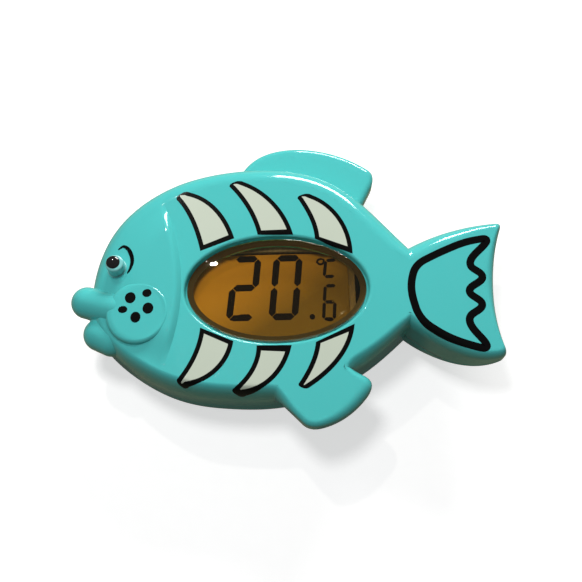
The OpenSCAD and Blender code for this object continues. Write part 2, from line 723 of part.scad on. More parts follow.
// ---- Display --------------------------------------------------------------------------
module glass_sheet(side_gap, end_gap, z0, z1) {
  block(
    GLASS_X - glass_len / 2 + end_gap, GLASS_X + glass_len / 2 - end_gap,
    -glass_wid / 2 + side_gap, glass_wid / 2 - side_gap, z0, z1
  );
}
module lcd_front_polariser() {
  color("khaki", 0.4) glass_sheet(0.5, 0.5, LEDGE_Z - polariser_t, LEDGE_Z);
}
module lcd_front_glass() {
  color("lightgoldenrodyellow", 0.4) glass_sheet(0, 0, FRONT_GLASS_Z, FRONT_GLASS_Z + glass_t);
}
module lcd_rear_glass() {
  color("lightgoldenrodyellow", 0.4) glass_sheet(contact_ledge, 0, REAR_GLASS_Z, CELL_Z);
}
module lcd_reflector() {
  color("goldenrod") glass_sheet(contact_ledge + 0.2, 0.2, REFLECTOR_Z, REAR_GLASS_Z);
}

// Seven-segment digits: each bar is a six-cornered strip between two of the digit's corners.
// They are laid out from the middle of the glass, in heights of the large digits.
BAR_GAP = 0.0065;
SEGMENTS = [
  [[0, 2], [1, 2]], [[1, 1], [1, 2]], [[1, 0], [1, 1]], [[0, 0], [1, 0]],
  [[0, 0], [0, 1]], [[0, 1], [0, 2]], [[0, 1], [1, 1]]
];
DIGITS = ["1111110", "0110000", "1101101", "1111001", "0110011",
  "1011011", "1011111", "1110000", "1111111", "1111011"];
function lean(p) = [p[0] + p[1] * tan(digit_lean), p[1]];
module bar(a, b, stroke) {
  along = unit(b - a);
  across = [-along[1], along[0]] * stroke / 2;
  start = a + along * BAR_GAP;
  end = b - along * BAR_GAP;
  polygon([
    for (p = [start, start + along * stroke / 2 + across, end - along * stroke / 2 + across,
      end, end - along * stroke / 2 - across, start + along * stroke / 2 - across]) lean(p)
  ]);
}
module digit(value, at, w, h, stroke) {
  reach = [w - stroke, (h - stroke) / 2];
  translate(at) translate(lean([stroke / 2, stroke / 2])) for (s = [0:6]) {
    if (DIGITS[value][s] == "1") {
      ends = [for (c = SEGMENTS[s]) [c[0] * reach[0], c[1] * reach[1]]];
      bar(ends[0], ends[1], stroke);
    }
  }
}
DIGIT_H = digit_share * (glass_wid - 2 * contact_ledge);
DIGITS_Y = -0.4;
TENS_X = -0.64;
UNITS_X = -0.016;
POINT_AT = [0.64, -0.36];
SMALL_X = 0.77;
DEGREE_AT = [0.785, 0.48];
UNIT_AT = [0.834, 0.247];
UNIT_H = 0.29;
module lcd_segments() {
  color("black") slab(CELL_Z, FRONT_GLASS_Z) translate([GLASS_X, 0]) scale(DIGIT_H) {
    digit(2, [TENS_X, DIGITS_Y], digit_slim, 1, digit_stroke);
    digit(0, [UNITS_X, DIGITS_Y], digit_slim, 1, digit_stroke);
    digit(6, [SMALL_X, DIGITS_Y], small_slim, small_share, small_stroke);
    translate(POINT_AT) circle(r = small_stroke * 0.85);
    translate(DEGREE_AT) difference() {
      circle(r = small_stroke * 1.3);
      circle(r = small_stroke * 0.65);
    }
    // The letter C of the unit, as three bars
    translate(UNIT_AT) {
      reach = [small_slim - small_stroke, UNIT_H - small_stroke];
      bar([0, reach[1]], reach, small_stroke);
      bar([0, 0], [reach[0], 0], small_stroke);
      bar([0, 0], [0, reach[1]], small_stroke);
    }
  }
}
HOLDER_LEDGE = 1.6;
HOLDER_X0 = GLASS_X - glass_len / 2 - SLIP;
HOLDER_X1 = GLASS_X + glass_len / 2 + SLIP;
module lcd_holder() {
  inner = glass_wid / 2 + SLIP;
  color("dimgray") difference() {
    block(
      HOLDER_X0 - holder_wall, HOLDER_X1 + holder_wall, -HOLDER_HALF, HOLDER_HALF,
      BOARD_TOP, LEDGE_Z
    );
    block(HOLDER_X0, HOLDER_X1, -inner, inner, REFLECTOR_Z, LEDGE_Z + 1);
    block(
      HOLDER_X0 + HOLDER_LEDGE, HOLDER_X1 - HOLDER_LEDGE, -inner, inner,
      BOARD_TOP - 1, LEDGE_Z
    );
  }
}
STRIP_W = 1.8;
module contact_strips() {
  middle = (glass_wid - contact_ledge) / 2 + SLIP / 2;
  color("dimgray") for (side = [-1, 1])
    block(
      HOLDER_X0 + HOLDER_LEDGE + 1, HOLDER_X1 - HOLDER_LEDGE - 1,
      side * middle - STRIP_W / 2, side * middle + STRIP_W / 2,
      BOARD_TOP, FRONT_GLASS_Z
    );
}

// ---- Circuit board --------------------------------------------------------------------
BOARD_SCREW_LEN = 6.5;
BOARD_SCREW_TIP_Z = BOARD_Z + BOARD_SCREW_LEN;
module circuit_board() {
  color("seagreen") slab(BOARD_Z, BOARD_TOP) difference() {
    polygon([
      [BOARD_X0, -BOARD_Y], [BOARD_X1 - BOARD_CHAMFER, -BOARD_Y],
      [BOARD_X1, -BOARD_Y + BOARD_CHAMFER], [BOARD_X1, BOARD_Y - BOARD_CHAMFER],
      [BOARD_X1 - BOARD_CHAMFER, BOARD_Y], [BOARD_X0, BOARD_Y]
    ]);
    at_each(BOARD_SCREWS_AT) circle(r = board_screw_r + SLIP);
    at_each(SHELL_SCREWS_AT) circle(r = boss_r + SLIP);
  }
}
module board_screws() {
  color("silver") at_each(BOARD_SCREWS_AT)
    screw(board_screw_r, board_screw_r * 1.9, 1.2, BOARD_SCREW_LEN, BOARD_Z);
}
CHIP_R = 3.8;
CHIP_T = 1.3;
CHIP_AT = [0, BOARD_Y - CHIP_R - 2.1];
module controller_chip() {
  color("black") translate([CHIP_AT[0], CHIP_AT[1], BOARD_Z])
    mirror([0, 0, 1]) button(CHIP_R, 0, CHIP_T, CHIP_R, 0.85 * CHIP_T);
}
CRYSTAL_R = 1;
CRYSTAL_LEN = 6;
CRYSTAL_AT = [-4, -BOARD_Y + 4.9];
module timing_crystal() {
  color("silver") translate([CRYSTAL_AT[0], CRYSTAL_AT[1], BOARD_Z - CRYSTAL_R - 0.1])
    rotate([0, 90, 0]) cylinder(r = CRYSTAL_R, h = CRYSTAL_LEN);
}
// Small parts under the board: place, size and height of each
CHIP_ROW_Y = BOARD_Y - 3.9;
CHIP_END_X = BOARD_X1 - 4;
CHIP_PARTS = [
  [[6, -CHIP_ROW_Y], [3.2, 1.6], 1.2], [[CHIP_END_X, 0], [1.6, 3.2], 0.9],
  [[-10, CHIP_ROW_Y], [2, 1.25], 0.6], [[-14, CHIP_ROW_Y], [2, 1.25], 0.6],
  [[-10, -CHIP_ROW_Y], [2, 1.25], 0.6], [[-14, -CHIP_ROW_Y], [2, 1.25], 0.6],
  [[CHIP_END_X, 5], [1.25, 2], 0.5], [[CHIP_END_X, -5], [1.25, 2], 0.5]
];
module chip_components() {
  color("saddlebrown") for (c = CHIP_PARTS)
    translate([c[0][0] - c[1][0] / 2, c[0][1] - c[1][1] / 2, BOARD_Z - c[2]])
      cube([c[1][0], c[1][1], c[2]]);
}

// ---- Unit key and its switch ----------------------------------------------------------
SWITCH_Z = BOARD_Z - switch_h;
PLUNGER_Z = SWITCH_Z - key_travel - 0.7;
PLUNGER_TOP_Z = SWITCH_Z + 0.5;
KEY_FACE_Z = 0.4;
KEY_FLANGE_W = 1.1;
KEY_STEM_R = 1.5;
KEY_SEAL_R = 0.33;
KEY_SEAL_Z = KEY_FACE_Z + 1;
// Ring seal in a bore just wider than r, and the groove that holds it
function seal_ring_r(r, seal_r) = r + run_gap / 2 - seal_r;
module ring_seal(r, seal_r, z) {
  translate([0, 0, z]) rotate_extrude() translate([seal_ring_r(r, seal_r), 0]) circle(r = seal_r);
}
module seal_groove(r, seal_r, z) {
  bottom = seal_ring_r(r, seal_r) - seal_r - 0.02;
  half = seal_r + 0.05;
  rotate_extrude() translate([bottom, z - half]) square([3 * seal_r, 2 * half]);
}
module push_switch() {
  half = switch_side / 2;
  color("darkslategray") translate(KEY_AT) difference() {
    block(-half, half, -half, half, SWITCH_Z, BOARD_Z);
    rod(plunger_r + run_gap, SWITCH_Z - 1, PLUNGER_TOP_Z + key_travel + 0.3);
  }
}
module switch_plunger() {
  color("black") translate(KEY_AT) rod(plunger_r, PLUNGER_Z, PLUNGER_TOP_Z);
}
module unit_key() {
  color("white") translate(KEY_AT) difference() {
    union() {
      rod(key_r, KEY_FACE_Z, floor_t + EPS);
      rod(key_r + KEY_FLANGE_W, floor_t, floor_t + 1);
      rod(KEY_STEM_R, floor_t, PLUNGER_Z);
    }
    seal_groove(key_r, KEY_SEAL_R, KEY_SEAL_Z);
  }
}
module key_seal() {
  color("black") translate(KEY_AT) ring_seal(key_r, KEY_SEAL_R, KEY_SEAL_Z);
}

// ---- Battery --------------------------------------------------------------------------
CELL_STEP = 0.4;
module coin_cell() {
  color("lightgray") translate(CELL_AT) {
    rod(cell_r, CELL_Z0, CELL_TOP_Z - CELL_STEP);
    rod(cell_r - 1.6, CELL_TOP_Z - CELL_STEP, CELL_TOP_Z);
  }
}
// Bent strip: its side profile in XZ, CONTACT_W wide in Y
module strip(profile) {
  translate([CELL_AT[0], CELL_AT[1] + CONTACT_W / 2, 0])
    rotate([90, 0, 0]) linear_extrude(CONTACT_W) polygon(profile);
}
module positive_contact() {
  face = -cell_r - 0.1;
  foot = face - 2.4;
  color("gold") strip([
    [face, BOARD_Z], [face, CELL_Z0 + 1], [face - CONTACT_T, CELL_Z0 + 1],
    [face - CONTACT_T, BOARD_Z - CONTACT_T], [foot, BOARD_Z - CONTACT_T], [foot, BOARD_Z]
  ]);
}
module negative_contact() {
  color("gold") strip([
    [7.5, BOARD_Z], [7.5, BOARD_Z - CONTACT_T], [4.6, BOARD_Z - CONTACT_T], [0.8, CELL_TOP_Z],
    [-1.6, CELL_TOP_Z], [-1.6, CELL_TOP_Z + CONTACT_T], [0.7, CELL_TOP_Z + CONTACT_T],
    [4.5, BOARD_Z]
  ]);
}
CAP_SEAL_R = 0.68;
CAP_SEAL_Z = CAP_SEAT_Z + 1.6;
module battery_cap() {
  color("mediumturquoise") translate(CELL_AT) difference() {
    union() {
      rod(CAP_FLANGE_R, CAP_Z, CAP_SEAT_Z);
      rod(CAP_PLUG_R, CAP_SEAT_Z - EPS, CAP_TOP_Z);
    }
    seal_groove(CAP_PLUG_R, CAP_SEAL_R, CAP_SEAL_Z);
    block(
      -coin_slot_len / 2, coin_slot_len / 2, -coin_slot_w / 2, coin_slot_w / 2,
      -1, CAP_Z + coin_slot_d
    );
  }
}
module battery_cap_seal() {
  color("black") translate(CELL_AT) ring_seal(CAP_PLUG_R, CAP_SEAL_R, CAP_SEAL_Z);
}

// ---- Temperature sensor ---------------------------------------------------------------
SENSOR_END_Z = 0.5;
SENSOR_FLANGE_W = 1.6;
BEAD_R = 1.1;
BEAD_Z = SENSOR_END_Z + sensor_wall + 0.1 + BEAD_R;
LEAD_R = 0.25;
LEADS_AT = [for (side = [-1, 1]) [side * 0.45, 0]];
// The bead is cut flat where the leads end on it
LEAD_END_Z = BEAD_Z + BEAD_R * 0.7;
module sensor_cap() {
  color("silver") translate(SENSOR_AT) difference() {
    union() {
      rod(sensor_r, SENSOR_END_Z, CLIP_Z + sensor_h);
      rod(sensor_r + SENSOR_FLANGE_W, SENSOR_SEAT_Z, CLIP_Z);
    }
    rod(sensor_r - sensor_wall, SENSOR_END_Z + sensor_wall, CLIP_Z + sensor_h + 1);
  }
}
module sensor_seal() {
  color("black") translate(SENSOR_AT) difference() {
    rod(sensor_r + SENSOR_FLANGE_W, floor_t, SENSOR_SEAT_Z);
    rod(sensor_r + SCREW_SLIP, floor_t - 1, SENSOR_SEAT_Z + 1);
  }
}
module sensor_clip() {
  color("white") slab(CLIP_Z, CLIP_Z + CLIP_T) difference() {
    union() {
      translate(SENSOR_AT) circle(r = sensor_r + SENSOR_FLANGE_W + 0.4);
      at_each(POSTS_AT) circle(r = POST_R + 1.2);
    }
    translate(SENSOR_AT) circle(r = sensor_r + SCREW_SLIP);
    at_each(POSTS_AT) circle(r = POST_R + SCREW_SLIP);
  }
}
module thermistor() {
  color("black") translate(SENSOR_AT) difference() {
    translate([0, 0, BEAD_Z]) sphere(r = BEAD_R);
    rod(BEAD_R + 1, LEAD_END_Z, LEAD_END_Z + BEAD_R);
  }
}
module thermistor_leads() {
  color("firebrick") translate(SENSOR_AT) at_each(LEADS_AT) rod(LEAD_R, LEAD_END_Z, BOARD_Z);
}

front_shell();
rear_shell();
perimeter_seal();
shell_screws();
window_lens();
window_gasket();
lcd_front_polariser();
lcd_front_glass();
lcd_segments();
lcd_rear_glass();
lcd_reflector();
lcd_holder();
contact_strips();
circuit_board();
board_screws();
controller_chip();
timing_crystal();
chip_components();
push_switch();
switch_plunger();
unit_key();
key_seal();
coin_cell();
positive_contact();
negative_contact();
battery_cap();
battery_cap_seal();
sensor_cap();
sensor_seal();
sensor_clip();
thermistor();
thermistor_leads();
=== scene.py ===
"""Looks of a fish-shaped floating pool thermometer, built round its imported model.

Frame: metres, +Z the display side, -X the mouth, +X the tail, +Y the dorsal fin.
Lengths inside the forms are in millimetres and are scaled once, as a mesh is made.
"""

from math import atan2, cos, exp, floor, hypot, pi, radians, sin, sqrt

import bmesh
import bpy
import numpy as np
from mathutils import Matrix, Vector
from mathutils.bvhtree import BVHTree


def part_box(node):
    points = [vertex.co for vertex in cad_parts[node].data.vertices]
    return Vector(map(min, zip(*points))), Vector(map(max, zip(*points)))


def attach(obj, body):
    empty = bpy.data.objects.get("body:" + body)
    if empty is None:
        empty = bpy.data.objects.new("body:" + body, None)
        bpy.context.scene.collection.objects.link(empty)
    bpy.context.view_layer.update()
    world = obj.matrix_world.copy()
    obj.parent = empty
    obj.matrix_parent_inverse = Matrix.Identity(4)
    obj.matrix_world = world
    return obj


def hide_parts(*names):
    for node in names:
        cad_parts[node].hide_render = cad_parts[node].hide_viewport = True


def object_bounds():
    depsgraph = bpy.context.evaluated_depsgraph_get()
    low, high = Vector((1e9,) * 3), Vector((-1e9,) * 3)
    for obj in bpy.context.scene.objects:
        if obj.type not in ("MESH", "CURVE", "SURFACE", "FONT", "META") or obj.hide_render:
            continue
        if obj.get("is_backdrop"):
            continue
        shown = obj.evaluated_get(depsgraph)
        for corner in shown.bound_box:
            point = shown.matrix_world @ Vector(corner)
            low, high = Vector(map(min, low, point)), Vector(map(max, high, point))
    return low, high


bl_info = {
    "name": "Floating Pool Thermometer",
    "version": (1, 0, 0),
    "blender": (4, 5, 0),
    "location": "View3D > Sidebar > Thermometer",
    "description": "Builds the shells, window, print and finishes of a fish-shaped thermometer",
    "category": "Add Mesh",
}

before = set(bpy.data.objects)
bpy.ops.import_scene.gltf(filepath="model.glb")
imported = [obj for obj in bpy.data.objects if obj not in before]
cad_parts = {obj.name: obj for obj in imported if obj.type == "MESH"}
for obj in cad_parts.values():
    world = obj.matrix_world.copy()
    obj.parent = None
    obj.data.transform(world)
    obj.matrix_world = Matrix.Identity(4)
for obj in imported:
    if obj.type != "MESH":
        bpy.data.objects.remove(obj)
CAD_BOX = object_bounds()
MM = 0.001


def node_box(node):
    """Lowest and highest corner of a CAD node, in millimetres."""
    low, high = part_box(node)
    return low / MM, high / MM


# ---- Levels and places taken from the frame ------------------------------------------------
LENS_LOW, LENS_HIGH = node_box("window_lens")
CAP_LOW, CAP_HIGH = node_box("battery_cap")
KEY_LOW, KEY_HIGH = node_box("unit_key")
SENSOR_LOW, SENSOR_HIGH = node_box("sensor_cap")
LENS_GAP = 0.7
WINDOW_A = (LENS_HIGH.x - LENS_LOW.x) / 2 + LENS_GAP
WINDOW_B = (LENS_HIGH.y - LENS_LOW.y) / 2 + LENS_GAP
LEDGE_TOP = node_box("window_gasket")[0].z
SHELL_TOP = node_box("front_shell")[1].z
CAP_AT = ((CAP_LOW.x + CAP_HIGH.x) / 2, (CAP_LOW.y + CAP_HIGH.y) / 2)
KEY_AT = ((KEY_LOW.x + KEY_HIGH.x) / 2, (KEY_LOW.y + KEY_HIGH.y) / 2)
SENSOR_AT = ((SENSOR_LOW.x + SENSOR_HIGH.x) / 2, (SENSOR_LOW.y + SENSOR_HIGH.y) / 2)
SCREWS_AT = ((-40, 14), (-40, -9), (-6, 30), (-6, -22.4), (28, 9), (28, -7))

# ---- Outline of the fish -------------------------------------------------------------------
BODY_CURVE = np.array([
    (37.5, 12.5), (27.5, 24.5), (12.5, 39), (-23.5, 38.5), (-49, 23), (-53.5, -1.5),
    (-51.5, -12.5), (-31.5, -27.5), (-14.5, -30), (5.5, -30.5), (25, -21), (36.5, -10.5),
])
SNOUT_AT = 5.3
TAIL_TOP_BEND = (49, 18.4)
TAIL_TIP_TOP = (64.6, 18.9)
TAIL_END_BEND = (57.2, -1.5)
TAIL_TIP_LOW = (62.6, -20.2)
TAIL_LOW_BEND = (51.5, -23)
TAIL_AXIS_Y = -0.8
TIP_CUT = 1.8
BODY_STEPS = 210
EDGE_STEPS = 30
TIP_STEPS = 10
END_STEPS = 22


def mix(a, b, t):
    """Value between a and b at share t."""
    return a + (b - a) * t


def point(p):
    """A place in plan that can be added to and scaled."""
    return np.array(p, float)


def unit(v):
    """The same way, of length 1."""
    return v / np.linalg.norm(v)


def smooth(low, high, x):
    """Smooth step from 0 at low to 1 at high."""
    t = min(1.0, max(0.0, (x - low) / (high - low)))
    return t * t * (3 - 2 * t)


def bezier(a, bend, b, t):
    """Point at t on the arc from a to b that leans towards the bend."""
    a, bend, b = point(a), point(bend), point(b)
    return mix(mix(a, bend, t), mix(bend, b, t), t)


def spline(points, u):
    """Point at u on a smooth curve that starts and ends at its outer points."""
    ends = [2 * points[0] - points[1]], [2 * points[-1] - points[-2]]
    g = np.concatenate([ends[0], points, ends[1]])
    i = min(int(floor(u)), len(points) - 2)
    t = u - i
    return (
        g[i] * (1 - t) ** 3 + g[i + 1] * (3 * t**3 - 6 * t * t + 4)
        + g[i + 2] * (3 * t + 3 * t * t - 3 * t**3 + 1) + g[i + 3] * t**3
    ) / 6


def edge_from(a, bend, b, steps):
    """Points of the arc from a to b, without its first one."""
    return [bezier(a, bend, b, k / steps) for k in range(1, steps + 1)]


def tail_half(notch, bend, tip):
    """One half of the tail's outline: from its notch over the cut tip to the end's middle."""
    end_mid = bezier(TAIL_TIP_TOP, TAIL_END_BEND, TAIL_TIP_LOW, 0.5)
    end_bend = mix(point(tip), point(TAIL_END_BEND), 0.5)
    before = point(tip) + TIP_CUT * unit(point(bend) - point(tip))
    after = point(tip) + TIP_CUT * unit(end_bend - point(tip))
    return (
        edge_from(notch, bend, before, EDGE_STEPS)
        + edge_from(before, tip, after, TIP_STEPS)
        + edge_from(after, end_bend, end_mid, END_STEPS)
    )


BODY_END = len(BODY_CURVE) - 1
TOP_HALF = [spline(BODY_CURVE, SNOUT_AT * (1 - k / BODY_STEPS)) for k in range(BODY_STEPS + 1)]
TOP_HALF += tail_half(BODY_CURVE[0], TAIL_TOP_BEND, TAIL_TIP_TOP)
LOW_HALF = [
    spline(BODY_CURVE, mix(SNOUT_AT, BODY_END, k / BODY_STEPS)) for k in range(BODY_STEPS + 1)
]
LOW_HALF += tail_half(BODY_CURVE[-1], TAIL_LOW_BEND, TAIL_TIP_LOW)
LAST = len(TOP_HALF) - 1
COUNT = 2 * LAST


def ring_of(top, low):
    """One value for each station: down the upper half and back along the lower one."""
    return np.array(list(top[: LAST + 1]) + list(low[LAST - 1 : 0 : -1]))


def half_step(i):
    """How many stations i lies from the snout, counted along its own half."""
    return min(i, COUNT - i)


OUTLINE = ring_of(TOP_HALF, LOW_HALF)
TAIL_X = BODY_CURVE[0][0]
TAIL_LEN = TAIL_TIP_TOP[0] - TAIL_X


def tail_share(x):
    """How far along the tail a place lies, from 0 at its root to 1 at its tip."""
    return min(1.0, max(0.0, (x - TAIL_X) / TAIL_LEN))


def inward_normals(outline, spread=0):
    """Normals towards the inside, evened out over a number of stations either way."""
    along = np.roll(outline, -1, axis=0) - np.roll(outline, 1, axis=0)
    normal = np.stack([along[:, 1], -along[:, 0]], axis=1)
    normal /= np.linalg.norm(normal, axis=1)[:, None]
    total = sum(np.roll(normal, k, axis=0) for k in range(-spread, spread + 1))
    return total / np.linalg.norm(total, axis=1)[:, None]


AIM_REACH = 5
TAIL_AIM_RUN = 13


def inset_aims():
    """Way inwards at each station: square to the edge, turned to the mitre beside a notch."""
    normals = inward_normals(OUTLINE)
    aims = []
    for i in range(COUNT):
        p = OUTLINE[i]
        if half_step(i) > BODY_STEPS:
            target = point((min(p[0], TAIL_X + TAIL_AIM_RUN), mix(TAIL_AXIS_Y, p[1], 0.3)))
            aims.append(unit(target - p))
            continue
        notch = BODY_CURVE[0] if p[1] > 0 else BODY_CURVE[-1]
        share = exp(-((np.linalg.norm(p - notch) / AIM_REACH) ** 2))
        mitre = point((0, -1 if p[1] > 0 else 1))
        aims.append(unit(mix(normals[i], mitre, share)))
    return np.array(aims)


AIM = inset_aims()

# ---- Fins ----------------------------------------------------------------------------------
FIN_STEPS = 24
FIN_SAMPLES = 400


def fin_line(*corners):
    """Line through corner points, with a bend point between each pair that is curved."""
    line = [point(corners[0])]
    for bend, end in zip(corners[1::2], corners[2::2]):
        if bend is None:
            line += [mix(line[-1], point(end), k / FIN_STEPS) for k in range(1, FIN_STEPS + 1)]
        else:
            line += edge_from(line[-1], bend, end, FIN_STEPS)
    return np.array(line)


DORSAL_LINE = fin_line(
    (-12, 35), (-9, 48.6), (7.5, 48.2), (19.4, 47.4), (28.6, 40.4), (30.2, 38.6), (28.7, 35),
    None, (23, 24),
)
PECTORAL_LINE = fin_line(
    (-9, -20.5), None, (-1.1, -30), None, (6.4, -37.7), (8.2, -39.2), (11.2, -38.6),
    (18.5, -37), (23.9, -30.3), (26.8, -26.4), (23, -24.4), None, (13, -17.7),
)


def crossings(line, outline):
    """Where a line crosses the outline: (place along the line, place along the outline)."""
    found = []
    for a in range(len(line) - 1):
        p, r = line[a], line[a + 1] - line[a]
        q = outline
        s = np.roll(outline, -1, axis=0) - outline
        cross = r[0] * s[:, 1] - r[1] * s[:, 0]
        cross[np.abs(cross) < 1e-12] = 1e-12
        d = q - p
        t = (d[:, 0] * s[:, 1] - d[:, 1] * s[:, 0]) / cross
        u = (d[:, 0] * r[1] - d[:, 1] * r[0]) / cross
        for i in np.nonzero((t >= 0) & (t < 1) & (u >= 0) & (u < 1))[0]:
            found.append((a + t[i], i + u[i]))
    return sorted(found)


def along_line(line, place):
    """Point of a line at a place, counted in its points."""
    a = min(int(place), len(line) - 2)
    return mix(line[a], line[a + 1], place - a)


def outgrow(outline, line):
    """The outline with its stations behind a fin's line moved out onto that line, and the
    share of the fin's length at each station, or -1 where there is no fin."""
    ends = crossings(line, outline)
    (line_a, at_a), (line_b, at_b) = ends[0], ends[-1]
    places = np.linspace(line_a, line_b, FIN_SAMPLES)
    pts = np.array([along_line(line, k) for k in places])
    run = np.concatenate([[0], np.cumsum(np.linalg.norm(np.diff(pts, axis=0), axis=1))])
    first, last = sorted((int(round(at_a)), int(round(at_b))))
    grown = outline.copy()
    share = np.full(len(outline), -1.0)
    for i in range(first, last + 1):
        f = (i - first) / (last - first)
        if at_a > at_b:
            f = 1 - f
        share[i] = f
        grown[i] = [np.interp(f * run[-1], run, pts[:, k]) for k in (0, 1)]
    return grown, share


DORSAL_OUT = outgrow(OUTLINE, DORSAL_LINE)[0]
PECTORAL_OUT, PECTORAL_SHARE = outgrow(OUTLINE, PECTORAL_LINE)


class ShellSizes(bpy.types.PropertyGroup):
    """Sizes of the two shells."""

    face: bpy.props.FloatProperty(
        name="Face Height", description="Height of the display face above the flat back",
        default=24.5 * MM, unit="LENGTH", subtype="DISTANCE")
    joint: bpy.props.FloatProperty(
        name="Joint Height", description="Height of the joint between the two shells",
        default=10 * MM, unit="LENGTH", subtype="DISTANCE")
    wall: bpy.props.FloatProperty(
        name="Wall", description="Thickness of the side walls",
        default=2.4 * MM, unit="LENGTH", subtype="DISTANCE")
    shoulder: bpy.props.FloatProperty(
        name="Shoulder", description="Radius of the rounded edge round the face",
        default=5.2 * MM, unit="LENGTH", subtype="DISTANCE")
    back_round: bpy.props.FloatProperty(
        name="Back Edge", description="Radius of the rounded edge round the back",
        default=7 * MM, unit="LENGTH", subtype="DISTANCE")
    head_rise: bpy.props.FloatProperty(
        name="Gill Step", description="Height of the head above the body at the gill",
        default=1.65 * MM, unit="LENGTH", subtype="DISTANCE")
    snout_drop: bpy.props.FloatProperty(
        name="Snout Drop", description="How far the face falls from the gill to the snout",
        default=2.5 * MM, unit="LENGTH", subtype="DISTANCE")
    rim: bpy.props.FloatProperty(
        name="Window Rim", description="Rounding of the window's rim",
        default=0.8 * MM, unit="LENGTH", subtype="DISTANCE")
    seam: bpy.props.FloatProperty(
        name="Seam", description="Depth of the fine groove where the shells meet",
        default=0.22 * MM, unit="LENGTH", subtype="DISTANCE")


class Finishes(bpy.types.PropertyGroup):
    """Colours of the pieces that show."""

    shell: bpy.props.FloatVectorProperty(
        name="Shell", description="Colour of the moulded shells",
        default=(0.080, 0.530, 0.520), size=3, subtype="COLOR", min=0, max=1)
    ink: bpy.props.FloatVectorProperty(
        name="Ink", description="Colour of the printed outlines",
        default=(0.003, 0.003, 0.003), size=3, subtype="COLOR", min=0, max=1)
    stripe: bpy.props.FloatVectorProperty(
        name="Stripes", description="Colour inside the printed stripes",
        default=(0.54, 0.60, 0.50), size=3, subtype="COLOR", min=0, max=1)
    lens: bpy.props.FloatVectorProperty(
        name="Lens", description="Tint of the window's lens",
        default=(0.90, 0.68, 0.26), size=3, subtype="COLOR", min=0, max=1)
    # The display's colour where it is painted brightest; the reflector paints it darker towards the
    # tail and the belly.
    reflector: bpy.props.FloatVectorProperty(
        name="Display", description="Colour of the display's reflecting back",
        default=(0.72, 0.36, 0.035), size=3, subtype="COLOR", min=0, max=1)
    seal: bpy.props.FloatVectorProperty(
        name="Seals", description="Colour of the rubber seals",
        default=(0.018, 0.018, 0.02), size=3, subtype="COLOR", min=0, max=1)


class PrintSizes(bpy.types.PropertyGroup):
    """Sizes of the printed lines."""

    line: bpy.props.FloatProperty(
        name="Stripe Outline", description="Width of the black line round each stripe",
        default=1.28 * MM, unit="LENGTH", subtype="DISTANCE")
    tail_line: bpy.props.FloatProperty(
        name="Tail Line", description="Width of the black line on the tail",
        default=2.15 * MM, unit="LENGTH", subtype="DISTANCE")
    film: bpy.props.FloatProperty(
        name="Ink Film", description="How far the ink stands above the shell",
        default=0.03 * MM, unit="LENGTH", subtype="DISTANCE")


class StageSettings(bpy.types.PropertyGroup):
    """Light, floor and camera."""

    key: bpy.props.FloatProperty(
        name="Key Light", description="Power of the soft light beyond the dorsal fin",
        default=2.75, min=0, subtype="POWER")
    bulb: bpy.props.FloatProperty(
        name="Bulb", description="Power of the small lamp above the head",
        default=0.5, min=0, subtype="POWER")
    fill: bpy.props.FloatProperty(
        name="Fill Light", description="Power of the soft light overhead",
        default=0.9, min=0, subtype="POWER")
    world: bpy.props.FloatProperty(
        name="Room Light", description="Strength of the even light of the room",
        default=0.13, min=0)
    lens: bpy.props.FloatProperty(
        name="Camera Lens", description="Focal length of the camera, in millimetres",
        default=58.6, min=1, subtype="DISTANCE_CAMERA")


def sizes():
    """Sizes of the shells in millimetres, by name."""
    settings = bpy.context.scene.thermometer_shell
    return {name: getattr(settings, name) / MM for name in ShellSizes.__annotations__}


# ---- Heights along the fish ----------------------------------------------------------------
GILL_X = -26.4
GILL_Y = 1.5
GILL_R = 60
GILL_ROUND = 2.1
HEAD_FADE = (3.2, 14)
HEAD_END_X = -12
HEAD_LINE = OUTLINE[OUTLINE[:, 0] < HEAD_END_X]
SNOUT_LEN = 25
TAIL_SHOULDER = 3
TAIL_TIP_T = 5.5
JOINT_CLEAR = 0.4
DORSAL_T = 5.2
DORSAL_ROUND = 1.8
PECTORAL_T = 6.2
PECTORAL_LOW_ROUND = 1.8


def top_z(x, s):
    """Height of the face, which falls from the gill to the snout."""
    return s["face"] - s["snout_drop"] * (max(0.0, GILL_X - x) / SNOUT_LEN) ** 1.3


def back_z(x, s):
    """Height of the back, which rises along the tail."""
    return (s["face"] - TAIL_TIP_T) * tail_share(x) ** 1.25


def back_round_at(x, s):
    """Radius of the rounded edge round the back, which tapers along the tail."""
    return mix(s["back_round"], TAIL_TIP_T / 4, tail_share(x))


def joint_z(x, s):
    """Height of the joint, which rises with the tail's back."""
    return max(s["joint"], back_z(x, s) + back_round_at(x, s) + JOINT_CLEAR)


def behind_gill(x, y):
    """Distance from the gill's foot towards the snout, less than 0 on the body's side."""
    return GILL_X - GILL_R + sqrt(max(0.0, GILL_R**2 - (y - GILL_Y) ** 2)) - x


def head_lift(x, y, s):
    """How far the head stands above the body's face: a soft step along the gill, which the
    head loses again towards its outline."""
    g = behind_gill(x, y)
    if g <= 0:
        return 0.0
    t = min(1.0, g / GILL_ROUND)
    edge = np.min(np.hypot(HEAD_LINE[:, 0] - x, HEAD_LINE[:, 1] - y))
    return s["head_rise"] * sin(t * pi / 2) * smooth(*HEAD_FADE, edge)


def head_z(x, y, s):
    """Height of the face with the head's rise on it."""
    return top_z(x, s) + head_lift(x, y, s)


# ---- Mesh helpers --------------------------------------------------------------------------
DOUBLED = 2e-7  # metres: points closer than this are one
VANISHED = 1e-8  # metres: a face thinner than this is dropped
TURNED_SHARP = 35


def sheet(bm, columns, rows, place):
    """Grid of columns by rows whose points are put at place(column, row), in millimetres."""
    made = bmesh.ops.create_grid(bm, x_segments=columns, y_segments=rows, size=1)["verts"]
    for v in made:
        i = int(round((v.co.x + 1) / 2 * columns))
        j = int(round((v.co.y + 1) / 2 * rows))
        v.co = Vector(place(i, j)) * MM
    return made


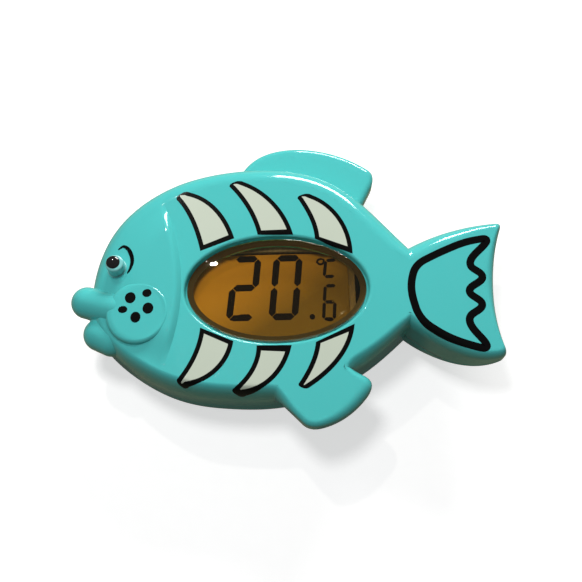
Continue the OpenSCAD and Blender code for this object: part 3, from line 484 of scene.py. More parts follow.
def close_up(bm):
    """Joins doubled points, drops the faces that vanish, and turns all faces outwards."""
    bmesh.ops.remove_doubles(bm, verts=bm.verts[:], dist=DOUBLED)
    bmesh.ops.dissolve_degenerate(bm, edges=bm.edges[:], dist=VANISHED)
    loose = [e for e in bm.edges if not e.link_faces]
    bmesh.ops.delete(bm, geom=loose, context="EDGES")
    bmesh.ops.recalc_face_normals(bm, faces=bm.faces[:])


def shade(mesh, sharp):
    """Smooth shading with edges of more than so many degrees left sharp."""
    mesh.shade_smooth()
    mesh.set_sharp_from_angle(angle=radians(sharp))


def keep_flats(obj):
    """Shades the large flat faces of a piece as flat up to their rounded edges."""
    flat = obj.modifiers.new("Flat Faces", "WEIGHTED_NORMAL")
    flat.keep_sharp = True


def piece(name, bm, body, material, sharp=40):
    """Makes the finished object of a bmesh, riding on a body."""
    close_up(bm)
    mesh = bpy.data.meshes.new(name)
    bm.to_mesh(mesh)
    bm.free()
    shade(mesh, sharp)
    obj = bpy.data.objects.new(name, mesh)
    bpy.context.scene.collection.objects.link(obj)
    mesh.materials.append(material)
    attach(obj, body)
    return obj


def lathe(bm, profile, at=(0, 0), segments=96):
    """Closed turned form: the profile's (radius, height) pairs go from axis to axis."""
    x0, y0 = at
    rows = len(profile) - 1

    def place(i, j):
        r, z = profile[j]
        a = 2 * pi * (i % segments) / segments
        return (x0 + r * cos(a), y0 + r * sin(a), z)

    return sheet(bm, segments, rows, place)


def quarter(cx, cz, r, start, end, steps=6):
    """Points on an arc in profile, angles in degrees from the radius axis."""
    return [
        (cx + r * cos(radians(mix(start, end, k / steps))),
         cz + r * sin(radians(mix(start, end, k / steps))))
        for k in range(steps + 1)
    ]


def cut_with(obj, cutters, operation):
    """Applies one exact boolean of obj with a list of closed bmeshes, each used up."""
    for n, bm in enumerate(cutters):
        close_up(bm)
        mesh = bpy.data.meshes.new(f"tool_{n}")
        bm.to_mesh(mesh)
        bm.free()
        tool = bpy.data.objects.new(f"tool_{n}", mesh)
        bpy.context.scene.collection.objects.link(tool)
        step = obj.modifiers.new("Cut", "BOOLEAN")
        step.operation = operation
        step.solver = "EXACT"
        step.object = tool
        bpy.context.view_layer.update()
        graph = bpy.context.evaluated_depsgraph_get()
        result = bpy.data.meshes.new_from_object(obj.evaluated_get(graph))
        obj.modifiers.remove(step)
        old = obj.data
        obj.data = result
        bpy.data.meshes.remove(old)
        bpy.data.objects.remove(tool)
        bpy.data.meshes.remove(mesh)
    return obj


# ---- Front shell ---------------------------------------------------------------------------
GILL_ROWS = (2.1, 1.75, 1.4, 1.08, 0.78, 0.5, 0.28, 0.12, 0.03, -0.03, -0.15, -0.5)
HEAD_SIDE_ROWS = 22
BODY_SIDE_ROWS = 20
SHOULDER_ROWS = 12
LEDGE_INSET = 2.48
LEDGE_T = 1.4
TUB_WALL = 1.6
ROOF_T = 2.3
FLOOR_T = 2.2
INNER_EDGE_ROWS = 4
# How far the face's rounded edge runs in, and how far it falls
BELLY_EDGE = (3.0, 9.4)
ROOT_EDGE = (2.6, 5.5)
TAIL_LOW_EDGE = (2.0, 3.2)
# Radius of the pectoral fin's upper edge, at its front and at its rear
FIN_EDGE = (1.5, 3.2)
EVEN_SPAN = 4


def edge_size(i, s):
    """How far the face's rounded edge runs in and falls at a station, before the fin."""
    x, y = OUTLINE[i]
    belly = smooth(8, -14, y)
    sizes_at = []
    for k in (0, 1):
        low = mix(BELLY_EDGE[k], ROOT_EDGE[k], smooth(14, 34, x))
        body = mix(s["shoulder"], low, belly)
        tail = mix(TAIL_SHOULDER, TAIL_LOW_EDGE[k], belly)
        sizes_at.append(mix(body, tail, tail_share(x)))
    return sizes_at


def fin_part(i):
    """How far a station has the pectoral fin's own edge, from 0 to 1."""
    f = PECTORAL_SHARE[i]
    return smooth(0, 0.09, f) * smooth(1, 0.9, f) if f >= 0 else 0.0


def evened_values(values):
    """Values round the ring, each averaged over the stations beside it."""
    count = 2 * EVEN_SPAN + 1
    padded = np.concatenate([values[-EVEN_SPAN:], values, values[:EVEN_SPAN]])
    return np.convolve(padded, np.ones(count) / count, mode="valid")


def shoulder_radii(s):
    """How far the rounded edge runs in at each station of the upper outline."""
    radii = []
    for i in range(COUNT):
        fin = mix(*FIN_EDGE, smooth(0.3, 0.75, PECTORAL_SHARE[i]))
        radii.append(mix(edge_size(i, s)[0], fin, fin_part(i)))
    return evened_values(radii)


def shoulder_drops(s, radii):
    """How far the rounded edge falls at each station of the upper outline."""
    drops = []
    for i in range(COUNT):
        run, fall = edge_size(i, s)
        drops.append(radii[i] * mix(fall / run, 1, fin_part(i)))
    return evened_values(drops)


FIN_STATIONS = np.nonzero(PECTORAL_SHARE >= 0)[0]
FIN_FIRST, FIN_LAST = int(FIN_STATIONS[0]), int(FIN_STATIONS[-1])
FIN_HEART = (10.5, -27)
FIN_BLEND = 14
NOTCHES = (FIN_FIRST, FIN_LAST, BODY_STEPS, COUNT - BODY_STEPS)
NOTCH_SHIFTS = (1.0, 2.6, 1.4, 1.4)


def pectoral_aims():
    """Inset ways on the upper outline, which takes in the pectoral fin."""
    normals = inward_normals(PECTORAL_OUT, 5)
    aims = AIM.copy()
    for i in range(COUNT):
        f = PECTORAL_SHARE[i]
        near = min(abs(k - i) for k in (FIN_FIRST, FIN_LAST))
        if f >= 0:
            to_heart = unit(point(FIN_HEART) - PECTORAL_OUT[i])
            lean = 0.45 * smooth(0, 0.2, f) * smooth(1, 0.8, f)
            aims[i] = unit(mix(normals[i], to_heart, lean))
        elif near <= FIN_BLEND:
            aims[i] = unit(mix(AIM[i], normals[i], 1 - smooth(0, FIN_BLEND, near)))
    return aims


def notch_shift(i):
    """How far a station's way runs on square to the shoulder, to stay clear of a notch."""
    return max(shift * smooth(16, 5, abs(i - notch)) for notch, shift in zip(NOTCHES, NOTCH_SHIFTS))


def gates(ring):
    """Points where the ways from the tail and from the pectoral fin leave their narrow root, by
    station: they are spread evenly from one side of the root to the other."""
    points = {}
    for first, last in ((BODY_STEPS, COUNT - BODY_STEPS), (FIN_FIRST - 1, FIN_LAST + 1)):
        for i in range(first, last + 1):
            points[i] = mix(ring[first], ring[last], (i - first) / (last - first))
    return points


def face_paths(ring, aims, rim_a, rim_b):
    """Each station's way across the face to the window, as a list of points."""
    clear = [ring[i] + aims[i] * notch_shift(i) for i in range(COUNT)]
    through = gates(clear)
    paths = []
    for i in range(COUNT):
        gate = through.get(i, clear[i])
        angle = atan2(gate[1] / rim_b, gate[0] / rim_a)
        paths.append([ring[i], clear[i], gate, point((rim_a * cos(angle), rim_b * sin(angle)))])
    return paths


def walk(path, t):
    """Point at share t of a way's length."""
    steps = [hypot(*(b - a)) for a, b in zip(path, path[1:])]
    run = t * sum(steps)
    for a, b, step in zip(path, path[1:], steps):
        if run <= step:
            return mix(a, b, run / step if step else 0.0)
        run -= step
    return path[-1]


HALVINGS = 22
GILL_FADE = 26


def gill_share(path, target):
    """Where along a station's way the face lies target behind the gill's foot."""
    low, high = 0.0, 1.0
    for _ in range(HALVINGS):
        mid = (low + high) / 2
        p = walk(path, mid)
        if behind_gill(p[0], p[1]) > target:
            low = mid
        else:
            high = mid
    return (low + high) / 2


def face_shares(paths):
    """Rows across the face at each station, as shares of its way. A set of rows follows the
    gill, and the rows beyond the gill's two ends run back to an even spread."""
    reach = max(GILL_ROWS)
    rows = HEAD_SIDE_ROWS + len(GILL_ROWS) + BODY_SIDE_ROWS
    even = np.linspace(0, 1, rows + 1)[1:]
    table = np.tile(even, (COUNT, 1))
    crossed = []
    for i in range(COUNT):
        start = paths[i][0]
        depth = behind_gill(start[0], start[1])
        if depth <= 0.02 or half_step(i) > BODY_STEPS:
            continue
        crossed.append(i)
        squeeze = min(1.0, depth / (reach * 1.6))
        marks = [gill_share(paths[i], g * squeeze if g > 0 else g) for g in GILL_ROWS]
        head = np.linspace(0, marks[0], HEAD_SIDE_ROWS + 1)[1:]
        body = np.linspace(marks[-1], 1, BODY_SIDE_ROWS + 1)[1:]
        table[i] = np.concatenate([head, marks[1:], body, [1.0]])[:rows]
        table[i][-1] = 1.0
    top_end = max(i for i in crossed if i <= LAST)
    low_end = min(i for i in crossed if i > LAST)
    for n in range(1, GILL_FADE + 1):
        w = smooth(0, GILL_FADE, n)
        table[top_end + n] = mix(table[top_end], even, w)
        table[low_end - n] = mix(table[low_end], even, w)
    return table


ROOT_REACH = 14  # stations evened out on each side of a notch
ROOT_ROWS = 26
ROOT_ROUNDS = 16
LEAST_CELL = 0.03  # square millimetres, twice over
OPEN_STEP = 0.02
OPEN_ROUNDS = 100


def turned_edges(plan):
    """Inward unit normal of each side of a row, from a station to the next."""
    edge = np.roll(plan, -1, axis=0) - plan
    way = np.stack([edge[:, 1], -edge[:, 0]], axis=1)
    return way / np.maximum(np.hypot(*way.T), 1e-9)[:, None]


def cell_areas(outer, inner):
    """Twice the signed area of each cell between two rows; a folded cell's is negative."""
    u = np.roll(inner, -1, axis=0) - outer
    v = inner - np.roll(outer, -1, axis=0)
    return u[:, 1] * v[:, 0] - u[:, 0] * v[:, 1]


def evened_roots(plans):
    """The face's rows with the first of them evened out beside each notch, where ways turn.
    Cells that still fold there are opened by small steps inward."""
    near = np.array([min(abs(i - k) for k in NOTCHES) <= ROOT_REACH for i in range(COUNT)])
    for _ in range(ROOT_ROUNDS):
        mid = plans[1:ROOT_ROWS]
        sides = np.roll(mid, 1, axis=1) + np.roll(mid, -1, axis=1)
        even = (sides + plans[: ROOT_ROWS - 1] + plans[2 : ROOT_ROWS + 1]) / 4
        mid[:, near] = even[:, near]
    for _ in range(OPEN_ROUNDS):
        for j in range(ROOT_ROWS):
            tight = near & (cell_areas(plans[j], plans[j + 1]) < LEAST_CELL)
            move = turned_edges(plans[j]) * tight[:, None] * OPEN_STEP
            plans[j + 1] += move + np.roll(move, 1, axis=0)
    return plans


def ring_row(plan, height):
    """One row: a place in plan and a height for each station."""
    return [(*plan(i), height(i)) for i in range(COUNT)]


def wall_level(i, z, s):
    """A height on the body's wall, squeezed between joint and rounded edge on the tail."""
    x = OUTLINE[i][0]
    high = top_z(x, s) - edge_size(i, s)[1]
    share = (z - s["joint"]) / (s["face"] - s["shoulder"] - s["joint"])
    return mix(joint_z(x, s), high, share)


def stand_out(out, run):
    """How far a fin stands out of the body at each station, from 0 to 1 over a run."""
    return [smooth(0, run, hypot(*(out[i] - OUTLINE[i]))) for i in range(COUNT)]


FIN_FOOT_R = 0.9
FIN_TOP_FALL = 0.02


def dorsal_rows(s):
    """Rows from the joint up over the dorsal fin and its foot to the body's wall."""
    seam, joint = s["seam"], s["joint"]
    top = joint + DORSAL_T
    aims = inward_normals(DORSAL_OUT, 3)
    part = stand_out(DORSAL_OUT, DORSAL_ROUND)
    rows = [
        ring_row(lambda i: DORSAL_OUT[i] + (aims[i] if part[i] > 0.5 else AIM[i]) * seam,
                 lambda i: wall_level(i, joint, s)),
        ring_row(lambda i: DORSAL_OUT[i], lambda i: wall_level(i, joint, s) + seam),
        ring_row(lambda i: DORSAL_OUT[i], lambda i: wall_level(i, mix(joint, top, 0.35), s)),
    ]
    for k in range(7):
        a = radians(90 * k / 6)
        rows.append(ring_row(
            lambda i: DORSAL_OUT[i] + aims[i] * DORSAL_ROUND * part[i] * (1 - cos(a)),
            lambda i: wall_level(i, top - DORSAL_ROUND * (1 - sin(a)), s)))
    inner = [DORSAL_OUT[i] + aims[i] * DORSAL_ROUND * part[i] for i in range(COUNT)]
    foot = []
    for i in range(COUNT):
        way = inner[i] - OUTLINE[i]
        gap = hypot(*way)
        back = min(FIN_FOOT_R, 0.8 * gap)
        foot.append(OUTLINE[i] + way * (back / gap if gap > 1e-6 else 0))
    for t in (0.2, 0.4, 0.6, 0.8, 1.0):
        rows.append(ring_row(lambda i: mix(inner[i], foot[i], t),
                             lambda i: wall_level(i, top + FIN_TOP_FALL * t, s)))
    for k in range(1, 5):
        a = radians(90 * k / 4)
        rise = FIN_FOOT_R * (1 - cos(a))
        rows.append(ring_row(lambda i: mix(foot[i], OUTLINE[i], sin(a)),
                             lambda i: wall_level(i, top + FIN_TOP_FALL + rise, s)))
    return rows


# Heights on the body's wall of the rows that go out under the pectoral fin and round its edge
UNDER_FIN_Z = (17.2, 17.6, 18.0)
FIN_EDGE_Z = (18.1, 18.7)
PECTORAL_RUN = 1.5


def pectoral_rows(s, aims):
    """Rows up the body's wall, out under the pectoral fin and round its lower edge."""
    fin_z = s["face"] - PECTORAL_T
    part = stand_out(PECTORAL_OUT, PECTORAL_RUN)
    round_by = [aims[i] * PECTORAL_LOW_ROUND * part[i] for i in range(COUNT)]
    under = [PECTORAL_OUT[i] + round_by[i] for i in range(COUNT)]

    def wall(i, z_body, z_fin):
        """Height of a row that is on the wall beside the fin and on the fin elsewhere."""
        return mix(wall_level(i, z_body, s), z_fin, part[i])

    foot, turn, out = UNDER_FIN_Z
    rows = [
        ring_row(lambda i: OUTLINE[i], lambda i: wall(i, foot, fin_z - 0.5)),
        ring_row(lambda i: mix(OUTLINE[i], under[i], 0.06), lambda i: wall(i, turn, fin_z)),
    ]
    for t in (0.3, 0.6, 0.85):
        rows.append(ring_row(lambda i: mix(OUTLINE[i], under[i], t),
                             lambda i: wall(i, mix(turn, out, t), fin_z)))
    for k in range(6):
        a = radians(90 * k / 5)
        rows.append(ring_row(
            lambda i: PECTORAL_OUT[i] + round_by[i] * (1 - sin(a)),
            lambda i: wall(i, mix(*FIN_EDGE_Z, k / 5), fin_z + PECTORAL_LOW_ROUND * (1 - cos(a)))))
    return rows


def edge_rows(s, aims, radii):
    """Rows over the rounded edge round the face."""
    drops = shoulder_drops(s, radii)
    rows = []
    for k in range(SHOULDER_ROWS + 1):
        a = radians(90 * k / SHOULDER_ROWS)
        plan = [PECTORAL_OUT[i] + aims[i] * radii[i] * (1 - cos(a)) for i in range(COUNT)]

        def height(i):
            """Height of the row at a station, with the head's rise on it."""
            x = plan[i][0] if half_step(i) <= BODY_STEPS else OUTLINE[i][0]
            rise = head_lift(*plan[i], s) * sin(a) ** 1.5
            return top_z(x, s) - drops[i] * (1 - sin(a)) + rise

        rows.append(ring_row(lambda i: plan[i], height))
    return rows


def face_rows(s, ring, paths):
    """Rows across the face, from its rounded edge to the window."""
    shares = face_shares(paths)
    plans = [[walk(paths[i], shares[i][j]) for i in range(COUNT)] for j in range(shares.shape[1])]
    return [ring_row(lambda i: plan[i], lambda i: head_z(*plan[i], s))
            for plan in evened_roots(np.array([ring] + plans))[1:]]


def oval_point(angle, inset):
    """Point on the window's oval, drawn in by an inset."""
    return ((WINDOW_A - inset) * cos(angle), (WINDOW_B - inset) * sin(angle))


def window_rows(s, angles):
    """Rows over the window's rim, down to the lens ledge, round it and up to the roof inside."""
    face, rim = s["face"], s["rim"]
    under = LEDGE_TOP - LEDGE_T
    rows = []
    for k in range(1, 7):
        a = radians(90 * k / 6)
        rows.append(ring_row(lambda i: oval_point(angles[i], -rim * (1 - sin(a))),
                             lambda i: face - rim * (1 - cos(a))))
    ledge = (
        (0, LEDGE_TOP + 0.8), (0, LEDGE_TOP + 0.15), (0.15, LEDGE_TOP), (0.7, LEDGE_TOP),
        (LEDGE_INSET - 0.2, LEDGE_TOP), (LEDGE_INSET, LEDGE_TOP - 0.2), (LEDGE_INSET, under),
        (0.5, under), (-TUB_WALL, under), (-TUB_WALL, face - ROOF_T),
    )
    for inset, z in ledge:
        rows.append(ring_row(lambda i: oval_point(angles[i], inset), lambda i: z))
    return rows


def inside_rows(s, angles):
    """Rows under the roof, down the inside of the wall and out over the joint."""
    roof = s["face"] - ROOF_T
    hollow = chamber(s)
    inner_r = s["shoulder"] - s["wall"]
    reach = bulkheaded([hollow[i] + AIM[i] * inner_r for i in range(COUNT)])
    roof_at = [top_z(place[0], s) - ROOF_T for place in reach]
    rows = []
    for t in (0.25, 0.5, 0.75):
        rows.append(ring_row(lambda i: mix(point(oval_point(angles[i], -TUB_WALL)), reach[i], t),
                             lambda i: mix(roof, roof_at[i], t)))
    for k in range(INNER_EDGE_ROWS + 1):
        a = radians(90 * k / INNER_EDGE_ROWS)
        rows.append(ring_row(lambda i: mix(reach[i], hollow[i], sin(a)),
                             lambda i: roof_at[i] - inner_r * (1 - cos(a))))
    rows.append(ring_row(lambda i: hollow[i], lambda i: mix(s["joint"], roof, 0.5)))
    for t in (0, 0.2, 0.4, 0.6, 0.8):
        plan = [mix(hollow[i], DORSAL_OUT[i], t) for i in range(COUNT)]
        rows.append(ring_row(lambda i: plan[i], lambda i: joint_z(plan[i][0], s)))
    return rows


def front_rows(s):
    """Rows of the front shell, each a list with one point for each station. They run from the
    joint up over the fins and the rounded edge, across the face, down into the window and back
    along the inside to the joint."""
    aims = pectoral_aims()
    radii = shoulder_radii(s)
    rim_a, rim_b = WINDOW_A + s["rim"], WINDOW_B + s["rim"]
    ring = [PECTORAL_OUT[i] + aims[i] * radii[i] for i in range(COUNT)]
    paths = face_paths(ring, aims, rim_a, rim_b)
    angles = [atan2(path[-1][1] / rim_b, path[-1][0] / rim_a) for path in paths]
    return (
        dorsal_rows(s) + pectoral_rows(s, aims) + edge_rows(s, aims, radii)
        + face_rows(s, ring, paths) + window_rows(s, angles) + inside_rows(s, angles)
    )


BULKHEAD_BACK = 6


def bulkheaded(ring):
    """The ring with its tail stations drawn straight across ahead of the tail's root."""
    last = BODY_STEPS - BULKHEAD_BACK
    drawn = []
    for i in range(COUNT):
        across = (i - last) / (COUNT - 2 * last)
        drawn.append(ring[i] if half_step(i) <= last else mix(ring[last], ring[COUNT - last], across))
    return drawn


def chamber(s):
    """Plan of the hollow inside the shells, closed by a bulkhead ahead of the tail."""
    return bulkheaded([OUTLINE[i] + AIM[i] * s["wall"] for i in range(COUNT)])


def closed_rows(bm, rows, loop):
    """Surface through rows of points, each row closed, and the rows too when loop is set."""
    count = len(rows[0])
    spans = len(rows) if loop else len(rows) - 1
    sheet(bm, count, spans, lambda i, j: rows[j % len(rows)][i % count])


class THERMO_OT_front_shell(bpy.types.Operator):
    """Build the front shell with its head, fins, tail and window rim"""

    bl_idname = "thermo.front_shell"
    bl_label = "Front Shell"

    def execute(self, context):
        s = sizes()
        bm = bmesh.new()
        closed_rows(bm, front_rows(s), True)
        shell = piece("front_shell_moulding", bm, "body", shell_plastic(), 42)
        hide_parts("front_shell")
        return {"FINISHED"}


# ---- Rear shell ----------------------------------------------------------------------------
BACK_ROWS = 12
TAIL_AXIS_END = 4
CAP_SEAT_Z = CAP_LOW.z + 2
CAP_FLANGE_R = (CAP_HIGH.x - CAP_LOW.x) / 2
CAP_PLUG_R = CAP_FLANGE_R - 1.65
RUN_GAP = 0.08
MOUTH_ROUND = 0.3
SMALL_MOUTH = 0.25
TUBE_TOP_Z = CAP_HIGH.z + 4.2
TUBE_FLANGE_WALL = 2
TUBE_PLUG_WALL = 1.9
TUBE_TOP_WALL = 0.9
CELL_R = 10.35
CONTACT_R = 8.5
KEY_HOLE_R = 3.58
SENSOR_HOLE_R = 3.05
BOSS_R = 3.4
SCREW_HEAD_R = 2.6
SCREW_HOLE_R = 1.45
SCREW_SEAT_Z = 2.6
IN_FLOOR_Z = 1  # where forms begin that run up out of the floor
JOINT_GAP = 0.05


def midway(ring, i):
    """Point halfway between station i of a ring and its partner on the other side."""
    return (point(ring[i]) + point(ring[(COUNT - i) % COUNT])) / 2


def back_axis(edge):
    """Middle point of the back that each station's rows run to."""
    root, end = midway(edge, BODY_STEPS), edge[LAST] - point((TAIL_AXIS_END, 0))
    middle = []
    for i in range(COUNT):
        along = (half_step(i) - BODY_STEPS) / (LAST - BODY_STEPS)
        middle.append(midway(edge, i) if along <= 0 else mix(root, end, along))
    return middle


def rear_rows(s):
    """Rows of the rear shell from the middle of the back out to its edge, up to the joint, in
    over the joint and down the inside to the middle of the floor."""
    hollow = chamber(s)
    seam = s["seam"]
    radii = [back_round_at(x, s) for x, _ in OUTLINE]
    joint_at = [joint_z(x, s) for x, _ in OUTLINE]
    edge = [OUTLINE[i] + AIM[i] * radii[i] for i in range(COUNT)]
    middle = back_axis(edge)
    groove = [OUTLINE[i] + AIM[i] * seam for i in range(COUNT)]
    rows = []
    for t in (1, 0.8, 0.6, 0.4, 0.2):
        plan = [mix(edge[i], middle[i], t) for i in range(COUNT)]
        rows.append(ring_row(lambda i: plan[i], lambda i: back_z(plan[i][0], s)))
    for k in range(BACK_ROWS, -1, -1):
        a = radians(90 * k / BACK_ROWS)
        plan = [OUTLINE[i] + AIM[i] * radii[i] * (1 - cos(a)) for i in range(COUNT)]
        rows.append(ring_row(lambda i: plan[i],
                             lambda i: back_z(plan[i][0], s) + radii[i] * (1 - sin(a))))
    rows.append(ring_row(lambda i: OUTLINE[i],
                         lambda i: mix(back_z(OUTLINE[i][0], s) + radii[i], joint_at[i] - seam, 0.5)))
    rows.append(ring_row(lambda i: OUTLINE[i], lambda i: joint_at[i] - seam))
    rows.append(ring_row(lambda i: groove[i], lambda i: joint_at[i]))
    for t in (0.25, 0.5, 0.75, 1):
        plan = [mix(groove[i], hollow[i], t) for i in range(COUNT)]
        rows.append(ring_row(lambda i: plan[i], lambda i: joint_z(plan[i][0], s)))
    inner_r = s["back_round"] - s["wall"]
    inner_edge = bulkheaded([hollow[i] + AIM[i] * inner_r for i in range(COUNT)])
    for k in range(INNER_EDGE_ROWS + 1):
        a = radians(90 * k / INNER_EDGE_ROWS)
        rows.append(ring_row(lambda i: mix(hollow[i], inner_edge[i], 1 - cos(a)),
                             lambda i: FLOOR_T + inner_r * (1 - sin(a))))
    inner_end = inner_edge[LAST][0] - TAIL_AXIS_END
    centres = [midway(inner_edge, i) for i in range(COUNT)]
    ends = [point((min(inner_end, x), y)) for x, y in centres]
    for t in (0.5, 1):
        rows.append(ring_row(lambda i: mix(inner_edge[i], ends[i], t), lambda i: FLOOR_T))
    return rows


def bore(bm, at, r, top, mouth=MOUTH_ROUND):
    """Cutter for a round hole up from the flat back, with a rounded mouth."""
    turns = [radians(a) for a in (0, 22, 45, 68, 90)]
    edge = [(r + mouth * (1 - sin(a)), mouth * (1 - cos(a))) for a in turns]
    lathe(bm, [(0, -1), (r + mouth, -1)] + edge + [(r, top), (0, top)], at, 72)


def column(bm, at, r, low, high, segments):
    """Plain round column that another form is joined to or cut with."""
    lathe(bm, [(0, low), (r, low), (r, high), (0, high)], at, segments)


def inner_posts(s):
    """The screw posts and the battery tube, which rise from the floor."""
    bm = bmesh.new()
    for at in SCREWS_AT:
        column(bm, at, BOSS_R, IN_FLOOR_Z, s["joint"] - JOINT_GAP, 48)
    foot_r, tube_r = CAP_FLANGE_R + TUBE_FLANGE_WALL, CAP_PLUG_R + TUBE_PLUG_WALL
    tube = [
        (0, IN_FLOOR_Z), (foot_r, IN_FLOOR_Z), (foot_r, CAP_SEAT_Z + 1.5),
        (tube_r, CAP_SEAT_Z + 1.9), (tube_r, CAP_HIGH.z + 1.9),
        (CAP_PLUG_R + TUBE_TOP_WALL, TUBE_TOP_Z), (0, TUBE_TOP_Z),
    ]
    lathe(bm, tube, CAP_AT, 96)
    return bm


def back_bores():
    """Cutters for the holes that open in the back."""
    bm = bmesh.new()
    bore(bm, CAP_AT, CAP_FLANGE_R + RUN_GAP, CAP_SEAT_Z)
    bore(bm, KEY_AT, KEY_HOLE_R, FLOOR_T + 0.5)
    bore(bm, SENSOR_AT, SENSOR_HOLE_R, FLOOR_T + 0.5, SMALL_MOUTH)
    for at in SCREWS_AT:
        bore(bm, at, SCREW_HEAD_R, SCREW_SEAT_Z, SMALL_MOUTH)
    return bm


def inner_bores(s):
    """Cutters for the battery tube's inside and the screws' shanks."""
    bm = bmesh.new()
    plug_r, top = CAP_PLUG_R + RUN_GAP, CAP_HIGH.z
    tube = [
        (0, IN_FLOOR_Z), (plug_r, IN_FLOOR_Z), (plug_r, top + 0.2), (CELL_R, top + 0.25),
        (CELL_R, top + 3.5), (CONTACT_R, top + 3.55), (CONTACT_R, TUBE_TOP_Z + 1), (0, TUBE_TOP_Z + 1),
    ]
    lathe(bm, tube, CAP_AT, 96)
    for at in SCREWS_AT:
        column(bm, at, SCREW_HOLE_R, IN_FLOOR_Z, s["joint"] + 1, 32)
    return bm


class THERMO_OT_rear_shell(bpy.types.Operator):
    """Build the rear shell with its battery tube, screw posts and bores"""

    bl_idname = "thermo.rear_shell"
    bl_label = "Rear Shell"

    def execute(self, context):
        s = sizes()
        bm = bmesh.new()
        closed_rows(bm, rear_rows(s), False)
        shell = piece("rear_shell_moulding", bm, "body", shell_plastic(), TURNED_SHARP)
        cut_with(shell, [inner_posts(s)], "UNION")
        cut_with(shell, [back_bores(), inner_bores(s)], "DIFFERENCE")
        shade(shell.data, TURNED_SHARP)
        keep_flats(shell)
        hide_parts("rear_shell")
        return {"FINISHED"}


# ---- Features on the head ------------------------------------------------------------------
CHEEK_AT = (-38.3, -6.2)
CHEEK_R = 8.8
CHEEK_TOP = 26.15
CHEEK_EDGE = 1.1
CHEEK_FOOT = 0.5
CHEEK_TILT = 1.7
EYE_AT = (-44.6, 7.4)
EYE_R = 2.5
EYE_TOP = SHELL_TOP
EYE_EDGE = 0.6
EYE_FOOT = 0.3
PUPIL_AT = (-45.0, 7.6)
PUPIL_R = 1.9
PUPIL_RISE = 0.73
DISC_DEPTH = 1.6
DISC_TUCK = 0.25
DROP_FROM_Z = 60


def surface_tree(name):
    """A finished piece's surface, for setting other pieces down on it."""
    bm = bmesh.new()
    bm.from_mesh(bpy.data.objects[name].data)
    tree = BVHTree.FromBMesh(bm)
    bm.free()
    return tree


def height_on(tree, x, y):
    """Height of the shell's top surface at a place in plan, in millimetres."""
    hit = tree.ray_cast(Vector((x, y, DROP_FROM_Z)) * MM, Vector((0, 0, -1)))[0]
    if hit is None:
        raise RuntimeError(f"nothing of the shell lies under {x:.1f}, {y:.1f}")
    return hit.z / MM


def raised_disc(bm, tree, at, r, top, edge, foot, tilt=0.0, columns=120):
    """Round boss standing on the shell: its top rounded by edge, its foot run out by foot, and
    its lid lower by tilt on the mouth's side. The skirt ends just under the shell's surface,
    and the form is closed below it."""
    ways = [(cos(2 * pi * i / columns), sin(2 * pi * i / columns)) for i in range(columns)]
    wall = [height_on(tree, at[0] + r * c, at[1] + r * s) for c, s in ways]
    skirt = [height_on(tree, at[0] + (r + foot) * c, at[1] + (r + foot) * s) for c, s in ways]
    base = min(min(skirt), min(wall)) - DISC_DEPTH
    flat = r - edge
    rows = [("flat", flat * k / 8) for k in range(9)]
    rows += [("edge", 90 - 90 * k / 10) for k in range(1, 11)]
    rows += [("wall", 0.5), ("foot", 0), ("foot", 22), ("foot", 45), ("foot", 68), ("foot", 90)]
    rows += [("tuck", 0.12), ("under", 1), ("under", 0)]

    def place(i, j):
        """Point of the disc's grid; each kind of row says what its value means."""
        i %= columns
        c, s = ways[i]
        kind, value = rows[j]
        reach = value if kind == "flat" else r
        lid = top - tilt * (1 - c * reach / r) / 2
        start = min(wall[i] + foot, lid - edge)
        if kind == "flat":
            z = lid
        elif kind == "edge":
            reach = flat + edge * cos(radians(value))
            z = lid - edge * (1 - sin(radians(value)))
        elif kind == "wall":
            z = mix(lid - edge, start, value)
        elif kind == "foot":
            a = radians(value)
            reach = r + foot * (1 - cos(a))
            z = start - foot * sin(a) + (skirt[i] - wall[i]) * (1 - cos(a)) + 0.012
        elif kind == "tuck":
            reach = r + foot + value
            z = skirt[i] - DISC_TUCK
        else:
            reach = (r + foot) * value
            z = base
        return (at[0] + reach * c, at[1] + reach * s, z)

    sheet(bm, columns, len(rows) - 1, place)


LIP_BARS = (
    ((-53.3, -1.2, 18.9), (-45.5, -3.6, 20.4), 4.5),
    ((-49.7, -10.1, 17.3), (-46.2, -11.9, 17.8), 4.6),
)
LIP_HEART = (-47.2, -7.0, 18.4)
LIP_BLEND = 0.9
LIP_REACH = 14.0


def lip_field(p):
    """Distance outside the lips' joined form: two rounded bars run softly together."""
    gaps = []
    for a, b, r in LIP_BARS:
        a, b = Vector(a), Vector(b)
        t = min(1, max(0, (p - a).dot(b - a) / (b - a).length_squared))
        gaps.append((p - mix(a, b, t)).length - r)
    h = max(LIP_BLEND - abs(gaps[0] - gaps[1]), 0) / LIP_BLEND
    return min(gaps) - h * h * LIP_BLEND / 4


def lips(bm):
    """The two lips as one form, each point pushed out from their heart to the surface."""
    heart = Vector(LIP_HEART)
    for v in bmesh.ops.create_icosphere(bm, subdivisions=6, radius=1)["verts"]:
        way = v.co.normalized()
        low, high = 0.0, LIP_REACH
        for _ in range(HALVINGS):
            half = (low + high) / 2
            if lip_field(heart + way * half) < 0:
                low = half
            else:
                high = half
        v.co = (heart + way * low) * MM


def pupil(bm):
    """The low black dome let into the eye's flat top."""
    foot = EYE_TOP - PUPIL_RISE - 0.02
    turns = [radians(a) for a in range(0, 90, 9)]
    dome = [(PUPIL_R * cos(a), foot + PUPIL_RISE * sin(a)) for a in turns]
    under = foot - 0.45
    profile = [(0, under), (PUPIL_R, under)] + dome + [(0, foot + PUPIL_RISE)]
    lathe(bm, profile, PUPIL_AT, 64)


